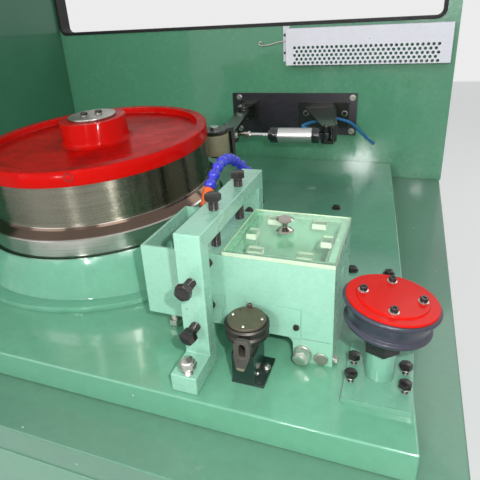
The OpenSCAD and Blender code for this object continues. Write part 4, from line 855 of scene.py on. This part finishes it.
wheel_iron = enamel("wheel_iron", (0.040, 0.043, 0.064), gloss=0.34, coat=0.15, tone=0.1, dirt=0.4, dust_and_shade=0.1,
                    dust_and_shade_colour=(0.2, 0.2, 0.2), wear=0.3, bare=(0.35, 0.34, 0.33), chips=0.05,
                    chip_colour=(0.3, 0.3, 0.32), waves=0.1, peel=0.5, edge=0.0012)
finish_node("guide_wheel", wheel_iron, rounding=0.0008)
cap_enamel = enamel("cap_red_enamel", (0.64, 0.008, 0.004), gloss=0.3, mirror=0.08, coat=0.1, tone=0.05,
                    dirt=0.1, dust_and_shade=0.05, dust_and_shade_colour=(0.5, 0.1, 0.06), wear=0.25, bare=(0.5, 0.2, 0.16),
                    chips=0.04, chip_colour=(0.6, 0.3, 0.25), waves=0.3, peel=0.1)
finish_node("guide_cap", cap_enamel, rounding=0.0010)
plate_bolts = bmesh.new()
for i, (x, y) in enumerate(plate_bolt_spots):
    threaded(plate_bolts, facing((x, y, plate_bolt_z), skyward), plate_bolt_r, plate_bolt_shank,
             plate_bolt_pitch)
    bolted(plate_bolts, (x, y, plate_washer_z), skyward, plate_washer, plate_head_flats, plate_head_h,
           0.7 * i, washer_slot=1)
make_piece("guide_plate_bolts", plate_bolts, "station", [black_oxide, zinc_plate])
spindle_way = spindle_turn.col[2]
cap_screws = bmesh.new()
for a in map(math.radians, cap_screw_turns):
    seat = spindle_foot + spindle_turn @ Vector((cap_screw_out * math.cos(a), cap_screw_out * math.sin(a),
                                                 cap_screw_rise))
    turned(cap_screws, facing(seat, spindle_way), cap_screw_washer, slot=1)
    head_place = seat + spindle_way * cap_screw_washer[-1][1]
    socket_head(cap_screws, facing(head_place, spindle_way, a), cap_screw_r, cap_screw_h)
make_piece("guide_cap_screws", cap_screws, "guide_pulley", [black_oxide, zinc_plate])

# Sensing roller. A folded black bracket, a cast lever with its bare tip, and a small grooved
# roller under an olive cover disc with three bright screws and a raised one.
cover_top = 0.9752
cover_screw_spots = ((0.488, -0.578), (0.542, -0.578), (0.517, -0.607))
cover_plug_place = (0.496, -0.562, cover_top - 0.0004)
cover_plug = ((0.0022, 0), (0.0022, 0.0006))
raised_screw_place = (0.510, -0.549, cover_top)
roller_centre = (0.514, -0.580, 0.938)
bracket_screw_place = (0.545, -0.571, 0.8652)
bracket_washer = ((0.0080, 0), (0.0084, 0.0003), (0.0084, 0.0012), (0.0080, 0.0015))
bracket_screw_flats = 0.0100
bracket_screw_h = 0.0050
bracket_side_screw = (0.5385, -0.607, 0.880)
bare_above, bare_below = 0.9115, 0.9095
bracket_black = enamel("bracket_black", (0.006, 0.022, 0.018), gloss=0.3, coat=0.4, dirt=0.2,
                       dirt_colour=(0.1, 0.11, 0.09), dust_and_shade=0.06, dust_and_shade_colour=(0.12, 0.13, 0.11), wear=0.3,
                       chips=0.05, chip_colour=(0.15, 0.17, 0.15), waves=0.3)
finish_node("sensor_bracket", bracket_black, rounding=0.0010)
lever_iron = bpy.data.materials.new("lever_iron")
lever_iron.use_nodes = True
lever_tree = lever_iron.node_tree
lever_surface = lever_tree.nodes["Principled BSDF"].inputs
lever_dirt = use_group(lever_tree, shop_dirt, Amount=0.35, Scale=30.0, Reach=0.01)
lever_worn = use_group(lever_tree, edge_wear, Radius=0.001, Amount=0.42, Scale=120.0)
lever_z = put(lever_tree, "ShaderNodeSeparateXYZ", {0: object_place(lever_tree)}).outputs[2]
ragged_z = calc(lever_tree, "ADD", lever_z, calc(lever_tree, "MULTIPLY", lever_dirt["Cloud"], 0.006))
lever_bare = stretch(lever_tree, ragged_z, bare_above, bare_below)
lever_shade = clouded(lever_tree, lever_dirt["Cloud"], (0.075, 0.068, 0.058), (0.115, 0.105, 0.092))
lever_shade = mingle(lever_tree, lever_dirt["Mask"], lever_shade, (0.02, 0.018, 0.014))
lever_shade = mingle(lever_tree, lever_worn["Mask"], lever_shade, (0.3, 0.26, 0.2))
lever_shade = mingle(lever_tree, lever_bare, lever_shade, (0.48, 0.38, 0.29))
lever_tree.links.new(lever_shade, lever_surface["Base Color"])
lever_tree.links.new(calc(lever_tree, "MAXIMUM", lever_bare, 0.35), lever_surface["Metallic"])
lever_surface["Roughness"].default_value = 0.4
cast_grain = speckle(lever_tree, object_place(lever_tree), 420.0)
lever_bump = put(lever_tree, "ShaderNodeBump", {"Height": cast_grain, "Strength": 0.25, "Distance": 0.0006})
lever_tree.links.new(lever_bump.outputs[0], lever_surface["Normal"])
finish_node("sensor_lever", lever_iron, rounding=0.0012)
roller_iron = turned_steel("roller_iron", (0.080, 0.074, 0.066), roller_centre, upright, rough=0.46,
                           pitch=1400.0, lines=0.3, dirt=0.25)
finish_node("sensor_roller", roller_iron)
olive_enamel = enamel("olive_enamel", (0.080, 0.074, 0.044), gloss=0.34, coat=0.3, tone=0.3, dirt=0.3,
                      dust_and_shade=0.5, dust_and_shade_colour=(0.11, 0.080, 0.040), wear=0.35, bare=(0.3, 0.26, 0.18),
                      chips=0.2, chip_colour=(0.05, 0.035, 0.02), waves=0.1, peel=0.4, edge=0.0008)
finish_node("sensor_cover", olive_enamel, rounding=0.0008)
raised_steel = plated("raised_screw_steel", (0.16, 0.085, 0.07), shine=0.6, rough=0.4, dirt=0.4, wear=0.3)
cover_screws = bmesh.new()
for x, y in cover_screw_spots:
    socket_head(cover_screws, facing((x, y, cover_top), skyward), radius=0.0030, height=0.0022,
                round_top=0.25)
turned(cover_screws, facing(cover_plug_place, skyward), cover_plug, steps=16, slot=1)
socket_head(cover_screws, facing(raised_screw_place, skyward), radius=0.0042, height=0.0075, slot=2)
make_piece("sensor_cover_screws", cover_screws, "sensor_pulley",
           [zinc_plate, black_oxide, raised_steel])
bracket_screws = bmesh.new()
bolted(bracket_screws, bracket_screw_place, skyward, bracket_washer, bracket_screw_flats, bracket_screw_h,
       0.2)
socket_head(bracket_screws, facing(bracket_side_screw, rightward), radius=0.0035, height=0.0030,
            round_top=0.25)
make_piece("sensor_bracket_screws", bracket_screws, "station", [zinc_plate])

# Wall plate. A black steel plate screwed to the back wall by its corners, with silver washers.
# It carries the hinge of the press arm and the rear bracket of the air cylinder.
plate_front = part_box("wall_plate")[0].y
rear_plate_front = 0.710
stand_off = 0.0001
corner_screw_spots = ((0.048, 1.127), (0.531, 1.127), (0.530, 0.991), (0.048, 0.991))
corner_washer = ((0.0122, 0), (0.0126, 0.0003), (0.0126, 0.0019), (0.0122, 0.0023))
rear_screw_spots = ((0.344, 1.065), (0.502, 1.066))
rear_washer = ((0.0112, 0), (0.0116, 0.0003), (0.0116, 0.0016), (0.0112, 0.0020))
plate_black = enamel("plate_black", (0.022, 0.019, 0.026), gloss=0.42, coat=0.15, tone=0.15, dirt=0.25,
                     dirt_colour=(0.07, 0.065, 0.07), dust_and_shade=0.0, wear=0.3, chips=0.08,
                     chip_colour=(0.09, 0.085, 0.095), waves=0.2, peel=0.4)
bracket_paint = enamel("satin_black", (0.010, 0.012, 0.009), gloss=0.3, coat=0.35, tone=0.12, dirt=0.2,
                       dirt_colour=(0.08, 0.08, 0.06), dust_and_shade=0.08, dust_and_shade_colour=(0.09, 0.09, 0.075),
                       wear=0.34, bare=(0.3, 0.29, 0.27), chips=0.06, chip_colour=(0.16, 0.15, 0.13),
                       waves=0.3, peel=0.2)
finish_node("wall_plate", plate_black, rounding=0.0010)
finish_node("hinge_bracket", bracket_paint, rounding=0.0010)
finish_node("rear_bracket", bracket_paint, rounding=0.0010)


def washered_screws(bm, spots, face_y, washer, radius, height, turn, washer_slot=0):
    seat_y = face_y - stand_off
    head_y = seat_y - washer[-1][1]
    for x, z in spots:
        turned(bm, facing((x, seat_y, z), frontward), washer, steps=32, slot=washer_slot)
        socket_head(bm, facing((x, head_y, z), frontward, turn), radius, height)


corner_screws = bmesh.new()
washered_screws(corner_screws, corner_screw_spots, plate_front, corner_washer, radius=0.0072,
                height=0.0070, turn=0.3)
make_piece("wall_plate_screws", corner_screws, "station", [zinc_plate])
rear_screws = bmesh.new()
washered_screws(rear_screws, rear_screw_spots, rear_plate_front, rear_washer, radius=0.0088,
                height=0.0080, turn=0.5, washer_slot=1)
make_piece("rear_bracket_screws", rear_screws, "station", [black_oxide, zinc_plate])

# Press arm. A black flat bar swings on the wall hinge and carries the roller in a fork; the
# roller is cast tan plastic on a bright axle bolt.
finish_node("press_arm", bracket_paint, rounding=0.0012)
hard_chrome = plated("hard_chrome", (0.72, 0.72, 0.70), shine=1.0, rough=0.13, dirt=0.15, marks=0.02)
finish_node("roller_axle", hard_chrome, rounding=0.0006)
tan_plastic = enamel("tan_roller_plastic", (0.26, 0.245, 0.15), gloss=0.42, coat=0.05, tone=0.1, dirt=0.35,
                     dust_and_shade=0.0, wear=0.25, bare=(0.16, 0.15, 0.1), chips=0.08, chip_colour=(0.12, 0.11, 0.08),
                     waves=0.1, peel=0.3)
finish_node("press_roller", tan_plastic, rounding=0.0008)

# Air cylinder. A satin anodised tube between black end caps, a chrome rod with a nickel rod end,
# and the blue tube that feeds it through the back wall.
tube_end = (0.480, 0.405, 1.050)
tube_alloy = turned_steel("anodised_tube", (0.60, 0.60, 0.58), tube_end, lengthwise, rough=0.34,
                          pitch=1600.0, lines=0.15, dirt=0.12)
finish_node("cylinder_barrel", tube_alloy)
cap_black = enamel("cylinder_cap_black", (0.008, 0.010, 0.014), gloss=0.22, coat=0.6, dirt=0.15,
                   dirt_colour=(0.06, 0.06, 0.06), dust_and_shade=0.1, dust_and_shade_colour=(0.08, 0.08, 0.08), wear=0.25,
                   chips=0.02, waves=0.1, peel=0.2)
finish_node("cylinder_caps", cap_black, rounding=0.0012)
finish_node("piston_rod", hard_chrome)
nickel = plated("nickel_plate", (0.58, 0.54, 0.47), shine=1.0, rough=0.25, dirt=0.35)
finish_node("rod_end", nickel, rounding=0.0008)
tube_blue = enamel("tube_blue_plastic", (0.012, 0.17, 0.42), gloss=0.25, coat=0.4, dirt=0.1, dust_and_shade=0.05,
                   wear=0.0, chips=0.0, waves=0.0, peel=0.1)
finish_node("air_tube", tube_blue)

# Coolant hose. A black stand pipe screwed into the deck carries a hose of snapped blue balls
# that ends in an orange nozzle over the die.
finish_node("hose_stand", black_oxide, rounding=0.0008)
hose_blue = enamel("hose_blue_plastic", (0.035, 0.045, 0.60), gloss=0.24, coat=0.5, tone=0.05, dirt=0.35,
                   dirt_colour=(0.01, 0.012, 0.12), dust_and_shade=0.06, dust_and_shade_colour=(0.2, 0.2, 0.4), wear=0.0,
                   chips=0.0, waves=0.0, peel=0.15)
finish_node("coolant_hose", hose_blue)
nozzle_orange = enamel("nozzle_orange_plastic", (0.85, 0.13, 0.02), gloss=0.3, coat=0.3, dirt=0.2,
                       dirt_colour=(0.25, 0.05, 0.02), dust_and_shade=0.05, wear=0.0, chips=0.0, waves=0.0, peel=0.15)
finish_node("hose_nozzle", nozzle_orange, rounding=0.0006)

# Guard. A pale powder coated sheet box with five staggered rows of round holes, screwed to the
# back wall by its flange, and a bent zinc rod that hangs from the flange.
flange_x = 0.2525
flange_face_y = 0.7279
flange_screw_heights = (1.372, 1.304)
guard_coat = enamel("guard_powder_coat", (0.90, 0.88, 0.95), gloss=0.5, coat=0.0, tone=0.03, dirt=0.25,
                    dirt_colour=(0.25, 0.24, 0.24), dust_and_shade=0.05, dust_and_shade_colour=(0.5, 0.48, 0.46), wear=0.12,
                    chips=0.02, chip_colour=(0.4, 0.4, 0.4), waves=0.2, peel=0.8)
finish_node("guard_box", guard_coat)
finish_node("hook_rod", zinc_plate)
guard_screws = bmesh.new()
for z in flange_screw_heights:
    socket_head(guard_screws, facing((flange_x, flange_face_y, z), frontward), radius=0.0055, height=0.0050,
                round_top=0.2)
make_piece("guard_screws", guard_screws, "station", [black_oxide])
